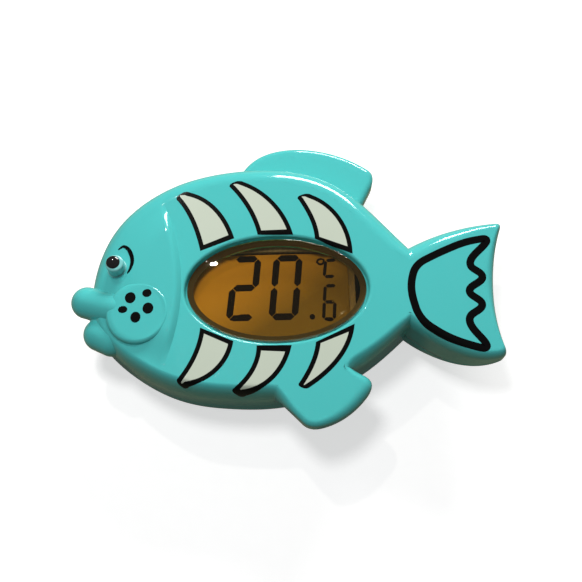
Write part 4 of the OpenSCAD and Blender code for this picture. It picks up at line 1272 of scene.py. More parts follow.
class THERMO_OT_head_features(bpy.types.Operator):
    """Build the cheek, the eye and the lips"""

    bl_idname = "thermo.head_features"
    bl_label = "Head Features"

    def execute(self, context):
        tree = surface_tree("front_shell_moulding")
        plastic = shell_plastic()
        bm = bmesh.new()
        raised_disc(bm, tree, CHEEK_AT, CHEEK_R, CHEEK_TOP, CHEEK_EDGE, CHEEK_FOOT, CHEEK_TILT)
        piece("cheek", bm, "body", plastic, 60)
        bm = bmesh.new()
        raised_disc(bm, tree, EYE_AT, EYE_R, EYE_TOP - 0.7, EYE_EDGE, EYE_FOOT)
        piece("eye_boss", bm, "body", eye_plastic(), 60)
        bm = bmesh.new()
        pupil(bm)
        piece("pupil", bm, "body", pupil_black(), 50)
        bm = bmesh.new()
        lips(bm)
        piece("lips", bm, "body", plastic, 60)
        return {"FINISHED"}


# ---- Print ---------------------------------------------------------------------------------
# Each stripe: its side towards the head and its side towards the tail, both from base to tip.
# Each dot: its centre, and half its length and width.
STRIPES = {
    "upper_1": (((-21.2, 11.6), (-22.2, 15.4), (-23.7, 20.1), (-25.7, 24.0), (-27.7, 27.1)),
                ((-11.7, 15.2), (-13.5, 19.9), (-16.1, 24.0), (-19.5, 27.3), (-24.2, 29.6))),
    "upper_2": (((-5.1, 16.1), (-6.0, 19.6), (-7.9, 23.8), (-10.2, 27.8), (-12.6, 30.8)),
                ((4.9, 15.9), (3.4, 20.4), (0.5, 25.1), (-3.5, 29.4), (-8.9, 32.6))),
    "upper_3": (((11.0, 14.6), (10.5, 18.1), (9.5, 21.2), (8.2, 24.0), (6.8, 26.6)),
                ((21.4, 9.7), (21.0, 14.4), (19.0, 20.0), (15.4, 24.8), (10.6, 28.0))),
    "lower_1": (((-21.1, -10.9), (-21.9, -14.9), (-23.2, -18.8), (-25.1, -22.1), (-26.9, -24.8)),
                ((-12.1, -14.9), (-13.6, -19.6), (-16.5, -23.2), (-20.1, -25.8), (-24.1, -26.9))),
    "lower_2": (((-5.8, -16.3), (-6.4, -20.1), (-7.8, -23.1), (-9.8, -25.8), (-12.1, -27.9)),
                ((3.7, -16.4), (2.3, -20.6), (-0.4, -24.7), (-4.2, -27.9), (-8.9, -29.3))),
    "lower_3": (((10.3, -15.7), (9.5, -19.1), (8.2, -22.4), (6.8, -24.8), (5.5, -26.9)),
                ((21.0, -10.8), (19.8, -15.7), (16.9, -20.4), (13.0, -24.7), (8.2, -28.2))),
}
DOTS = (
    (-40.3, -2.0, 1.5, 1.6), (-35.7, -0.9, 1.3, 1.15), (-35.3, -5.3, 1.5, 1.6),
    (-38.7, -7.7, 1.4, 1.55), (-42.3, -5.3, 1.3, 1.0),
)
BROW = (
    (-44.5, 13.1), (-43.0, 13.9), (-41.4, 12.7), (-40.4, 10.4), (-40.2, 8.4), (-40.8, 6.5),
    (-41.5, 5.4),
)
BROW_HALF = 0.58
BROW_END = 0.25  # width of its ends, as a share of its middle's
FILM_DEPTH = 0.25
FILL_RAISE = 0.03
SETTLE_SPREAD = ((0, 0), (0.1, 0.07), (-0.1, -0.07))
STRIPE_STEPS = 40
STRIPE_COLUMNS = 14
TIP_REACH = 0.68
TIP_ROWS = 6
TIP_FULLNESS = 0.75
TAIL_FIGURE = (
    (36.8, -1.0), (38.6, 6.0), (45.9, 9.6), (53.2, 12.6), (61.0, 13.8), (52.6, 6.0), (58.4, 1.9),
    (51.9, -2.0), (57.6, -6.2), (51.0, -10.2), (58.4, -19.6), (47.0, -15.8), (38.8, -10.0),
)


def curve_through(points, count):
    """Even points on a smooth curve through the given points."""
    pts = [point(p) for p in points]
    pts = [2 * pts[0] - pts[1]] + pts + [2 * pts[-1] - pts[-2]]
    fine = []
    for k in range(1, len(pts) - 2):
        a, b, c, d = pts[k - 1 : k + 3]
        for t in np.linspace(0, 1, 24, endpoint=False):
            fine.append(0.5 * (2 * b + (c - a) * t + (2 * a - 5 * b + 4 * c - d) * t**2
                               + (3 * b - a - 3 * c + d) * t**3))
    fine.append(pts[-2])
    return evened(np.array(fine), count)


def eased(points, count):
    """Even points on the one smooth bow that fits the given points best."""
    pts = np.array(points, float)
    run = np.concatenate([[0], np.cumsum(np.linalg.norm(np.diff(pts, axis=0), axis=1))])
    fits = [np.polyfit(run, pts[:, k], 3) for k in (0, 1)]
    at = np.linspace(0, run[-1], 80)
    return evened(np.stack([np.polyval(fit, at) for fit in fits], axis=1), count)


def evened(line, count):
    """The line resampled to count points at even spacing."""
    run = np.concatenate([[0], np.cumsum(np.linalg.norm(np.diff(line, axis=0), axis=1))])
    at = np.linspace(0, run[-1], count)
    return np.stack([np.interp(at, run, line[:, 0]), np.interp(at, run, line[:, 1])], axis=1)


def softened(corners, count, cut=0.42):
    """Closed line through corner points with each corner rounded off."""
    fine = []
    n = len(corners)
    for k in range(n):
        a, b, c = (point(corners[(k + d) % n]) for d in (-1, 0, 1))
        fine += [bezier(mix(b, a, cut), b, mix(b, c, cut), t) for t in np.linspace(0, 1, 16)]
    fine.append(fine[0])
    return evened(np.array(fine), count + 1)[:-1]


def drape(bm, tree, grid, film, loop=False, raise_by=0.0):
    """Thin closed film over a surface: the grid's places in plan are set down on it, each on the
    highest of a few places close by, with a second layer just under the surface."""
    columns, rows = len(grid[0]), len(grid)
    spans = columns if loop else columns - 1

    def settle(x, y):
        """The place with its height on the film's upper side."""
        near = max(height_on(tree, x + dx, y + dy) for dx, dy in SETTLE_SPREAD)
        return (x, y, near + film + raise_by)

    tops = [[settle(*place) for place in line] for line in grid]
    made = sheet(bm, spans, rows - 1, lambda i, j: tops[j][i % columns])
    faces = list({f for v in made for f in v.link_faces})
    bmesh.ops.remove_doubles(bm, verts=made, dist=DOUBLED)
    faces = [f for f in faces if f.is_valid]
    if sum(f.normal.z for f in faces) < 0:
        bmesh.ops.reverse_faces(bm, faces=faces)
    out = bmesh.ops.extrude_face_region(bm, geom=faces, use_keep_orig=True)
    lower = [v for v in out["geom"] if isinstance(v, bmesh.types.BMVert)]
    bmesh.ops.translate(bm, verts=lower, vec=(0, 0, -(film + raise_by + FILM_DEPTH) * MM))


def stripe_grid(left, right):
    """Grid of a stripe between its two sides, its tip drawn to a rounded end."""
    left, right = eased(left, STRIPE_STEPS), eased(right, STRIPE_STEPS)
    shares = [c / STRIPE_COLUMNS for c in range(STRIPE_COLUMNS + 1)]
    rows = [[mix(a, b, t) for t in shares] for a, b in zip(left, right)]
    tip_mid = (left[-1] + right[-1]) / 2
    half = np.linalg.norm(right[-1] - left[-1]) / 2
    ahead = unit(tip_mid - (left[-4] + right[-4]) / 2)
    for k in range(1, TIP_ROWS + 1):
        a = radians(90 * k / TIP_ROWS)
        centre = tip_mid + ahead * half * TIP_REACH * sin(a)
        narrow = cos(a) ** TIP_FULLNESS if k < TIP_ROWS else 0.0
        rows.append([centre + (mix(left[-1], right[-1], t) - tip_mid) * narrow for t in shares])
    return rows


def side_lean(rows, k, side, across):
    """How squarely a stripe's side crosses its row: the less, the wider the line lies on it."""
    along = unit(rows[k + 1][side] - rows[k - 1][side])
    return max(0.5, abs(along[0] * across[1] - along[1] * across[0]))


def shrink_grid(rows, line):
    """The part of a stripe's grid that lies a line's width inside its edge."""
    columns = len(rows[0])
    base = (rows[0][0] + rows[0][-1]) / 2
    inner = []
    for k in range(1, len(rows) - 1):
        left, right = rows[k][0], rows[k][-1]
        width = np.linalg.norm(right - left)
        across = (right - left) / width
        a, b = (line / side_lean(rows, k, side, across) for side in (0, -1))
        away = np.linalg.norm((left + right) / 2 - base)
        if width <= (a + b) * 1.04 or away < line:
            continue
        start, end = left + across * a, right - across * b
        inner.append([mix(start, end, c / (columns - 1)) for c in range(columns)])
    last = inner[-1]
    half = np.linalg.norm(last[-1] - last[0]) / 2
    mid = (last[0] + last[-1]) / 2
    ahead = unit(mid - (inner[-3][0] + inner[-3][-1]) / 2)
    for k in range(1, 5):
        a = radians(90 * k / 4)
        inner.append([mid + ahead * half * sin(a) + (p - mid) * cos(a) for p in last])
    return inner


def band_grid(line, half, columns=5, closed=True, taper=None):
    """Grid of a band along a line: rows across it, columns along it."""
    ahead = np.roll(line, -1, axis=0) - np.roll(line, 1, axis=0)
    if not closed:
        ahead[0] = line[1] - line[0]
        ahead[-1] = line[-1] - line[-2]
    normal = np.stack([-ahead[:, 1], ahead[:, 0]], axis=1)
    normal /= np.linalg.norm(normal, axis=1)[:, None]
    count = len(line)
    width = [half * (taper(k / (count - 1)) if taper else 1) for k in range(count)]
    return [[line[k] + normal[k] * width[k] * mix(-1, 1, r / columns) for k in range(count)]
            for r in range(columns + 1)]


def disc_grid(x, y, a, b, columns=40, rows=6):
    """Grid of an oval dot, from its rim to its centre."""
    ways = [(cos(2 * pi * c / columns), sin(2 * pi * c / columns)) for c in range(columns)]
    return [[(x + a * r / rows * c, y + b * r / rows * s) for c, s in ways]
            for r in range(rows, -1, -1)]


def brow_width(t):
    """Width of the brow along its length, thin at both ends."""
    return BROW_END + (1 - BROW_END) * sin(pi * min(1, max(0, t))) ** 0.6


class THERMO_OT_printing(bpy.types.Operator):
    """Print the stripes, the cheek's dots, the brow and the tail's figure"""

    bl_idname = "thermo.printing"
    bl_label = "Print"

    def execute(self, context):
        settings = context.scene.thermometer_print
        line, tail_line, film = (v / MM for v in (settings.line, settings.tail_line, settings.film))
        tree = surface_tree("front_shell_moulding")
        black = print_ink()
        bm, inside = bmesh.new(), bmesh.new()
        for left, right in STRIPES.values():
            grid = stripe_grid(left, right)
            drape(bm, tree, grid, film)
            drape(inside, tree, shrink_grid(grid, line), film, raise_by=FILL_RAISE)
        piece("stripe_outlines", bm, "body", black, 50)
        piece("stripe_fills", inside, "body", stripe_fill(), 50)
        bm = bmesh.new()
        drape(bm, tree, band_grid(softened(TAIL_FIGURE, 360), tail_line / 2), film, loop=True)
        piece("tail_figure", bm, "body", black, 50)
        bm = bmesh.new()
        brow = band_grid(curve_through(BROW, 48), BROW_HALF, closed=False, taper=brow_width)
        drape(bm, tree, brow, film)
        piece("brow", bm, "body", black, 50)
        bm = bmesh.new()
        cheek = surface_tree("cheek")
        for x, y, a, b in DOTS:
            drape(bm, cheek, disc_grid(x, y, a, b), film, loop=True)
        piece("cheek_dots", bm, "body", black, 50)
        return {"FINISHED"}


# ---- Window --------------------------------------------------------------------------------
LENS_EDGE = 2.0
LENS_BEVEL = 0.45
LENS_FOOT = 0.2
LENS_COLUMNS = 144
BEVEL_ROWS = 5
DOME_ROWS = 20


def lens_profile(b):
    """The lens from its flat underside over its edge to its crown: (share of its half width,
    height) pairs, for a half width b."""
    low, rim = LENS_LOW.z, LENS_LOW.z + LENS_EDGE
    crown = LENS_HIGH.z - rim
    rows = [(0, low), (0.5, low), (1 - LENS_FOOT / b, low), (1, low + LENS_FOOT)]
    rows.append((1, rim - LENS_BEVEL))
    for k in range(1, BEVEL_ROWS + 1):
        t = radians(90 * k / BEVEL_ROWS)
        rows.append((1 - LENS_BEVEL / b * (1 - cos(t)), rim - LENS_BEVEL * (1 - sin(t))))
    start = rows[-1][0]
    for k in range(1, DOME_ROWS + 1):
        share = start * cos(radians(90 * k / DOME_ROWS))
        rows.append((share, rim + crown * (1 - (share / start) ** 2)))
    return rows


class THERMO_OT_window_lens(bpy.types.Operator):
    """Build the domed lens over the display"""

    bl_idname = "thermo.window_lens"
    bl_label = "Window Lens"

    def execute(self, context):
        a, b = WINDOW_A - LENS_GAP, WINDOW_B - LENS_GAP
        rows = lens_profile(b)

        def place(i, j):
            """Point of the lens's grid: columns go round, rows from underside to crown."""
            share, z = rows[j]
            w = 2 * pi * (i % LENS_COLUMNS) / LENS_COLUMNS
            return (a * share * cos(w), b * share * sin(w), z)

        bm = bmesh.new()
        sheet(bm, LENS_COLUMNS, len(rows) - 1, place)
        lens = piece("domed_lens", bm, "body", lens_plastic(), 40)
        let_light_through(lens)
        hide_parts("window_lens")
        return {"FINISHED"}


# ---- Pieces in the back --------------------------------------------------------------------
def turned(name, profile, at, body, material, node, segments=96, cutters=()):
    """A turned piece that stands for a CAD node, with any cuts made in it."""
    bm = bmesh.new()
    lathe(bm, profile, at, segments)
    obj = piece(name, bm, body, material, TURNED_SHARP)
    if cutters:
        cut_with(obj, cutters, "DIFFERENCE")
        shade(obj.data, TURNED_SHARP)
    keep_flats(obj)
    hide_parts(node)


def seal_groove(r, z, seal_r):
    """Profile points of the groove that holds a ring seal, going up."""
    bottom = r + RUN_GAP / 2 - 2 * seal_r - 0.02
    half = seal_r + 0.05
    return [(r, z - half), (bottom, z - half), (bottom, z + half), (r, z + half)]


COIN_SLOT = (16, 1.8, 1.2)
SLOT_OVER = 1.4  # how far its cutter stands out of the back
SLOT_END_R = 0.85
SLOT_FLOOR_R = 0.25
CAP_GROOVE_AT = 2.2
CAP_GROOVE_DEPTH = 0.35
CAP_ROUND = 0.4
CAP_SEAL_R = 0.68
KEY_ROUND = 0.45
KEY_SEAL_R = 0.33
KEY_FLANGE = 1.1
KEY_STEM_R = 1.5
SENSOR_R = 3
SENSOR_ROUND = 0.5
SENSOR_WALL = 0.5
SENSOR_FLANGE_R = 4.6


def coin_slot():
    """Cutter for the slot across the battery cap, with rounded ends and a rounded floor."""
    length, width, depth = COIN_SLOT
    floor_z = CAP_LOW.z + depth
    tall = depth + SLOT_OVER
    bm = bmesh.new()
    bar = bmesh.ops.create_cube(bm, size=1)["verts"]
    bmesh.ops.scale(bm, verts=bar, vec=Vector((length, width, tall)) * MM)
    middle = Vector((*CAP_AT, floor_z - tall / 2))
    bmesh.ops.translate(bm, verts=bar, vec=middle * MM)
    rounding = {"profile": 0.5, "affect": "EDGES", "material": -1}
    upright = [e for e in bm.edges if abs(e.verts[0].co.z - e.verts[1].co.z) > MM]
    bmesh.ops.bevel(bm, geom=upright, offset=SLOT_END_R * MM, segments=8, **rounding)
    ends = [e for e in bm.edges if all(v.co.z > (floor_z - 0.1) * MM for v in e.verts)]
    bmesh.ops.bevel(bm, geom=ends, offset=SLOT_FLOOR_R * MM, segments=3, **rounding)
    return bm


def battery_cap():
    """The turned battery cap with its ring groove, seal groove and coin slot."""
    low, seat, top = CAP_LOW.z, CAP_SEAT_Z, CAP_HIGH.z
    r, plug = CAP_FLANGE_R, CAP_PLUG_R
    ring, deep = r - CAP_GROOVE_AT, low + CAP_GROOVE_DEPTH
    profile = [(0, low), (ring, low), (ring + 0.3, deep), (ring + 0.7, deep), (ring + 1, low)]
    profile += quarter(r - CAP_ROUND, low + CAP_ROUND, CAP_ROUND, -90, 0)
    profile += [(r, seat - 0.1), (r - 0.1, seat), (plug, seat)]
    profile += seal_groove(plug, seat + 1.6, CAP_SEAL_R)
    profile += [(plug, top - 0.3), (plug - 0.3, top), (0, top)]
    turned("battery_cap_cover", profile, CAP_AT, "cap", shell_plastic(),
           "battery_cap", 144, [coin_slot()])


def unit_key():
    """The turned rubber key with its dished face, seal groove, flange and stem."""
    low, top = KEY_LOW.z, KEY_HIGH.z
    r = KEY_HOLE_R - RUN_GAP
    flange = FLOOR_T + 1
    profile = [(0, low + 0.35), (r * 0.45, low + 0.28), (r * 0.8, low + 0.05)]
    profile += quarter(r - KEY_ROUND, low + KEY_ROUND, KEY_ROUND, -90, 0)
    profile += seal_groove(r, low + 1, KEY_SEAL_R)
    profile += [(r, FLOOR_T), (r + KEY_FLANGE, FLOOR_T), (r + KEY_FLANGE, flange - 0.2)]
    profile += [(r + KEY_FLANGE - 0.2, flange), (KEY_STEM_R + 0.2, flange)]
    profile += [(KEY_STEM_R, flange + 0.2), (KEY_STEM_R, top), (0, top)]
    turned("unit_button", profile, KEY_AT, "key", key_rubber(), "unit_key")


def sensor_tip():
    """The drawn steel cap over the sensor, with its flange on the floor."""
    low, top = SENSOR_LOW.z, SENSOR_HIGH.z
    flange = FLOOR_T + 0.8
    profile = [(0, low)]
    profile += quarter(SENSOR_R - SENSOR_ROUND, low + SENSOR_ROUND, SENSOR_ROUND, -90, 0)
    profile += [(SENSOR_R, flange), (SENSOR_FLANGE_R, flange), (SENSOR_FLANGE_R, flange + 1)]
    profile += [(SENSOR_R, flange + 1), (SENSOR_R, top), (SENSOR_R - SENSOR_WALL, top)]
    profile += [(SENSOR_R - SENSOR_WALL, low + SENSOR_WALL), (0, low + SENSOR_WALL)]
    turned("sensor_tip", profile, SENSOR_AT, "body", steel(), "sensor_cap")


class THERMO_OT_back_pieces(bpy.types.Operator):
    """Build the battery cap, the unit key and the sensor's steel cap"""

    bl_idname = "thermo.back_pieces"
    bl_label = "Back Pieces"

    def execute(self, context):
        battery_cap()
        unit_key()
        sensor_tip()
        return {"FINISHED"}


# ---- Finishes ------------------------------------------------------------------------------
def feed(tree, socket, value):
    """Links a socket to another that feeds it, or sets it to a value."""
    if isinstance(value, bpy.types.NodeSocket):
        tree.links.new(value, socket)
    else:
        socket.default_value = value


def node(tree, kind, settings=(), **inputs):
    """Adds a shader node. Inputs go by name, or as _0, _1 and so on by their place."""
    made = tree.nodes.new(kind)
    for name, value in dict(settings).items():
        setattr(made, name, value)
    for name, value in inputs.items():
        place = int(name[1:]) if name[0] == "_" else name.replace("_", " ")
        feed(tree, made.inputs[place], value)
    return made


def maths(tree, operation, a, b=0.0):
    """Output of a maths node."""
    return node(tree, "ShaderNodeMath", {"operation": operation}, _0=a, _1=b).outputs[0]


def times(tree, a, b):
    """Product of two values."""
    return maths(tree, "MULTIPLY", a, b)


def plus(tree, a, b):
    """Sum of two values."""
    return maths(tree, "ADD", a, b)


def blend(tree, factor, a, b):
    """Colour between a and b by a factor."""
    mixer = {"data_type": "RGBA"}
    return node(tree, "ShaderNodeMix", mixer, _0=factor, _6=a, _7=b).outputs[2]


def noise(tree, where, scale, detail, roughness=0.5):
    """Values of a noise of a given scale."""
    return node(tree, "ShaderNodeTexNoise", Vector=where, Scale=scale, Detail=detail,
                Roughness=roughness).outputs[0]


def ranged(tree, value, low, high):
    """0 below low, 1 above high and an even rise between."""
    return node(tree, "ShaderNodeMapRange", Value=value, _1=low, _2=high).outputs[0]


def object_place(tree):
    """Place on the object, in metres."""
    return tree.nodes.new("ShaderNodeTexCoord").outputs["Object"]


def group(name, inputs, outputs):
    """Empty shader group with its named sockets: (tree, input node, output node)."""
    tree = bpy.data.node_groups.new(name, "ShaderNodeTree")
    for label, kind, value in inputs:
        made = tree.interface.new_socket(name=label, in_out="INPUT", socket_type=kind)
        made.default_value = value
    for label, kind in outputs:
        tree.interface.new_socket(name=label, in_out="OUTPUT", socket_type=kind)
    return tree, tree.nodes.new("NodeGroupInput"), tree.nodes.new("NodeGroupOutput")


FLOAT, COLOUR, VECTOR = "NodeSocketFloat", "NodeSocketColor", "NodeSocketVector"


def moulded_finish():
    """Group: faint clouding of a moulded colour, uneven gloss, a fine skin and hairline marks."""
    name = "Moulded Finish"
    if name in bpy.data.node_groups:
        return bpy.data.node_groups[name]
    tree, given, out = group(
        name,
        [("Colour", COLOUR, (0.5, 0.5, 0.5, 1)), ("Cloud", FLOAT, 0.06), ("Gloss", FLOAT, 0.2),
         ("Gloss Spread", FLOAT, 0.08), ("Skin", FLOAT, 1.0), ("Marks", FLOAT, 0.3)],
        [("Colour", COLOUR), ("Roughness", FLOAT), ("Height", FLOAT)],
    )
    where = object_place(tree)
    colour = given.outputs["Colour"]
    cloud = noise(tree, where, 38.0, 3.0, 0.55)
    darker = node(tree, "ShaderNodeHueSaturation", Color=colour, Value=0.82, Saturation=1.04)
    amount = times(tree, maths(tree, "SUBTRACT", cloud, 0.35), given.outputs["Cloud"])
    tinted = blend(tree, times(tree, amount, 4.0), colour, darker.outputs[0])
    stretch = node(tree, "ShaderNodeMapping", Vector=where, Rotation=(0.3, 0.2, 0.7), Scale=(1, 14, 3))
    hairs = ranged(tree, noise(tree, stretch.outputs[0], 420.0, 2.0, 0.6), 0.69, 0.74)
    marked = times(tree, hairs, given.outputs["Marks"])
    patch = noise(tree, where, 95.0, 4.0, 0.6)
    spread = times(tree, maths(tree, "SUBTRACT", patch, 0.5), given.outputs["Gloss Spread"])
    rough = plus(tree, plus(tree, given.outputs["Gloss"], spread), times(tree, marked, 0.12))
    fine = noise(tree, where, 2600.0, 2.0)
    sink = noise(tree, where, 60.0, 1.0)
    skin = times(tree, plus(tree, times(tree, fine, 0.06), sink), given.outputs["Skin"])
    height = maths(tree, "SUBTRACT", skin, times(tree, marked, 0.05))
    tree.links.new(tinted, out.inputs["Colour"])
    tree.links.new(rough, out.inputs["Roughness"])
    tree.links.new(height, out.inputs["Height"])
    return tree


def metal_finish():
    """Group: drawn or turned metal with fine lines one way, tarnish and soft blotches."""
    name = "Metal Finish"
    if name in bpy.data.node_groups:
        return bpy.data.node_groups[name]
    tree, given, out = group(
        name,
        [("Colour", COLOUR, (0.6, 0.6, 0.6, 1)), ("Tarnish", COLOUR, (0.4, 0.38, 0.33, 1)),
         ("Stretch", VECTOR, (1, 20, 1)), ("Gloss", FLOAT, 0.25), ("Lines", FLOAT, 0.12)],
        [("Colour", COLOUR), ("Roughness", FLOAT), ("Height", FLOAT)],
    )
    where = object_place(tree)
    way = node(tree, "ShaderNodeVectorMath", {"operation": "MULTIPLY"},
               _0=where, _1=given.outputs["Stretch"]).outputs[0]
    lines = noise(tree, way, 900.0, 4.0, 0.65)
    mask = ranged(tree, noise(tree, where, 260.0, 4.0, 0.6), 0.5, 0.8)
    tarnished = blend(tree, mask, given.outputs["Colour"], given.outputs["Tarnish"])
    tree.links.new(tarnished, out.inputs["Colour"])
    uneven = times(tree, lines, given.outputs["Lines"])
    rough = plus(tree, plus(tree, given.outputs["Gloss"], uneven), times(tree, mask, 0.1))
    tree.links.new(rough, out.inputs["Roughness"])
    tree.links.new(lines, out.inputs["Height"])
    return tree


def finish(name, colour, make, **constants):
    """A material with a Principled shader: make(tree, shader) wires its colour, gloss and
    height, and the constants are set on the shader's own sockets."""
    name += "_finish"
    if name in bpy.data.materials:
        return bpy.data.materials[name]
    material = bpy.data.materials.new(name)
    material.use_nodes = True
    material.diffuse_color = (*colour[:3], 1)
    tree = material.node_tree
    shader = tree.nodes["Principled BSDF"]
    for label, value in constants.items():
        shader.inputs[label.replace("_", " ")].default_value = value
    make(tree, shader)
    return material


def bump(tree, shader, height, strength, distance):
    """Feeds the shader's normal with a height of so many millimetres."""
    made = node(tree, "ShaderNodeBump", Height=height, Strength=strength, Distance=distance * MM)
    tree.links.new(made.outputs[0], shader.inputs["Normal"])


def placed(tree, kind, **values):
    """A shared group placed in a material, with its inputs set."""
    made = node(tree, "ShaderNodeGroup", {"node_tree": kind()})
    for label, value in values.items():
        feed(tree, made.inputs[label.replace("_", " ")], value)
    return made


def wear(tree, shader, made, strength, depth):
    """Wires a placed group's roughness and height."""
    tree.links.new(made.outputs["Roughness"], shader.inputs["Roughness"])
    bump(tree, shader, made.outputs["Height"], strength, depth)


def moulded(name, colour, cloud, gloss, spread, skin, marks, depth, **constants):
    """Moulded plastic, rubber or resin."""

    def make(tree, shader):
        made = placed(tree, moulded_finish, Colour=(*colour[:3], 1), Cloud=cloud, Gloss=gloss,
                      Gloss_Spread=spread, Skin=skin, Marks=marks)
        tree.links.new(made.outputs["Colour"], shader.inputs["Base Color"])
        wear(tree, shader, made, 0.35, depth)

    return finish(name, colour, make, **constants)


def metal(name, colour, tarnish, stretch=(1, 20, 1), gloss=0.22, lines=0.12, depth=0.004):
    """Metal with its working marks."""

    def make(tree, shader):
        made = placed(tree, metal_finish, Colour=(*colour, 1), Tarnish=(*tarnish, 1),
                      Stretch=stretch, Gloss=gloss, Lines=lines)
        tree.links.new(made.outputs["Colour"], shader.inputs["Base Color"])
        wear(tree, shader, made, 0.3, depth)

    return finish(name, colour, make, Metallic=1.0)


EYE_PALER = 0.14
GOLD_GLASS = (0.75, 0.70, 0.50)
BOARD_GREEN = (0.012, 0.12, 0.05)
TRACK_GREEN = (0.03, 0.24, 0.09)


def colours():
    """The colours that can be set in the panel."""
    return bpy.context.scene.thermometer_finishes


def shell_plastic():
    """Glossy turquoise plastic of the shells."""
    return moulded("shell_plastic", colours().shell, 0.05, 0.09, 0.04, 1.0, 0.25, 0.03,
                   Coat_Weight=0.25, Coat_Roughness=0.05, IOR=1.48, Subsurface_Weight=0.06,
                   Subsurface_Radius=(0.2, 1.0, 1.0), Subsurface_Scale=0.0012)


def eye_plastic():
    """The shell's plastic, a little paler."""
    pale = [min(1, mix(c, 1, EYE_PALER)) for c in colours().shell]
    return moulded("eye_plastic", pale, 0.05, 0.15, 0.05, 1.0, 0.2, 0.02,
                   Coat_Weight=0.4, Coat_Roughness=0.05)


def pupil_black():
    """Glossy black of the pupil."""
    return moulded("pupil_black", (0.008, 0.007, 0.008), 0.02, 0.06, 0.03, 0.5, 0.15, 0.01,
                   Coat_Weight=0.6, Coat_Roughness=0.03)


def print_ink():
    """Black ink of the printed lines."""
    return moulded("print_ink", colours().ink, 0.05, 0.24, 0.1, 1.0, 0.3, 0.01,
                   Specular_IOR_Level=0.12)


def stripe_fill():
    """Off-white ink inside the stripes."""
    return moulded("stripe_fill", colours().stripe, 0.10, 0.24, 0.08, 1.0, 0.25, 0.012)


def key_rubber():
    """Pale rubber of the unit key."""
    return moulded("key_rubber", (0.70, 0.70, 0.68), 0.1, 0.5, 0.1, 1.0, 0.15, 0.03)


def steel():
    """Drawn steel of the sensor's cap, the screws and the crystal's can."""
    return metal("steel", (0.62, 0.62, 0.61), (0.45, 0.43, 0.40))


def lens_plastic():
    """Clear tinted plastic."""
    tint = (*colours().lens, 1)

    def make(tree, shader):
        made = placed(tree, moulded_finish, Colour=tint, Cloud=0.0, Gloss=0.02,
                      Gloss_Spread=0.02, Skin=0.4, Marks=0.3)
        wear(tree, shader, made, 0.08, 0.01)
        shader.inputs["Base Color"].default_value = tint

    return finish("lens_plastic", tint, make, Transmission_Weight=1.0, IOR=1.49)


def let_light_through(obj):
    """The lamps light the display as if this clear piece weren't there."""
    obj.visible_shadow = False
    obj.visible_diffuse = False


def clear_sheet(name, colour, alpha, gloss):
    """Thin glass or film of the display, seen through."""

    def make(tree, shader):
        made = placed(tree, moulded_finish, Colour=(*colour, 1), Cloud=0.05, Gloss=gloss,
                      Gloss_Spread=0.03, Skin=0.3, Marks=0.2)
        tree.links.new(made.outputs["Colour"], shader.inputs["Base Color"])
        tree.links.new(made.outputs["Roughness"], shader.inputs["Roughness"])
        haze = noise(tree, object_place(tree), 70.0, 2.0)
        cover = plus(tree, times(tree, haze, alpha * 0.3), alpha * 0.85)
        tree.links.new(cover, shader.inputs["Alpha"])

    return finish(name, colour, make, Specular_IOR_Level=0.0)


def reflector():
    """The display's brushed reflecting back, with painted light and shade: brightest towards the head
    and the dorsal fin, painted darker towards the tail and the belly.
    """
    colour = colours().reflector

    def make(tree, shader):
        where = object_place(tree)
        x, y, _ = node(tree, "ShaderNodeSeparateXYZ", Vector=where).outputs
        # Painted shade: the colour falls to a darker copy of itself towards the tail and the belly.
        slope = plus(tree, times(tree, x, 14.0), times(tree, y, -22.0))
        painted_shade_share = ranged(tree, slope, -0.55, 0.16)
        grain = noise(tree, where, 2400.0, 2.0)
        grained = times(tree, maths(tree, "SUBTRACT", grain, 0.5), 0.12)
        dark = (colour[0] * 0.2, colour[1] * 0.25, colour[2] * 0.4, 1)
        seen = blend(tree, plus(tree, painted_shade_share, grained), (*colour, 1), dark)
        tree.links.new(seen, shader.inputs["Base Color"])
        made = placed(tree, moulded_finish, Gloss=0.42, Gloss_Spread=0.1, Skin=1.0, Marks=0.0)
        tree.links.new(made.outputs["Roughness"], shader.inputs["Roughness"])
        bump(tree, shader, grain, 0.2, 0.01)

    return finish("reflector", colour, make, Specular_IOR_Level=0.1)


def board_finish():
    """Green solder mask over faint copper tracks."""

    def make(tree, shader):
        way = node(tree, "ShaderNodeMapping", Vector=object_place(tree), Scale=(520, 520, 520))
        tracks = node(tree, "ShaderNodeTexBrick", {"offset": 0.37, "squash": 0.6},
                      Vector=way.outputs[0], Scale=1.0, Mortar_Size=0.035).outputs["Fac"]
        made = placed(tree, moulded_finish, Colour=(*BOARD_GREEN, 1), Cloud=0.15, Gloss=0.25,
                      Gloss_Spread=0.08, Skin=1.0, Marks=0.1)
        lit = blend(tree, tracks, made.outputs["Colour"], (*TRACK_GREEN, 1))
        tree.links.new(lit, shader.inputs["Base Color"])
        tree.links.new(made.outputs["Roughness"], shader.inputs["Roughness"])
        bump(tree, shader, tracks, 0.4, 0.03)

    return finish("board", (0.01, 0.12, 0.05), make, Coat_Weight=0.3)


def layered_rubber():
    """Rubber contact strip with its fine dark layers."""

    def make(tree, shader):
        layers = node(tree, "ShaderNodeTexWave", {"bands_direction": "X"},
                      Vector=object_place(tree), Scale=900.0, Distortion=0.4).outputs[1]
        seen = blend(tree, layers, (0.05, 0.05, 0.05, 1), (0.42, 0.36, 0.33, 1))
        tree.links.new(seen, shader.inputs["Base Color"])
        made = placed(tree, moulded_finish, Gloss=0.6, Gloss_Spread=0.1, Skin=1.0, Marks=0.0)
        tree.links.new(made.outputs["Roughness"], shader.inputs["Roughness"])
        bump(tree, shader, layers, 0.3, 0.02)

    return finish("zebra_rubber", (0.2, 0.2, 0.2), make)


def seal_rubber():
    """Dark rubber of the ring seals."""
    return moulded("seal_rubber", colours().seal, 0.2, 0.48, 0.15, 1.0, 0.2, 0.03)


def cell_steel():
    """Bright steel of the coin cell."""
    return metal("cell_steel", (0.66, 0.65, 0.62), (0.50, 0.47, 0.42), (1, 1, 18), 0.2, 0.15)


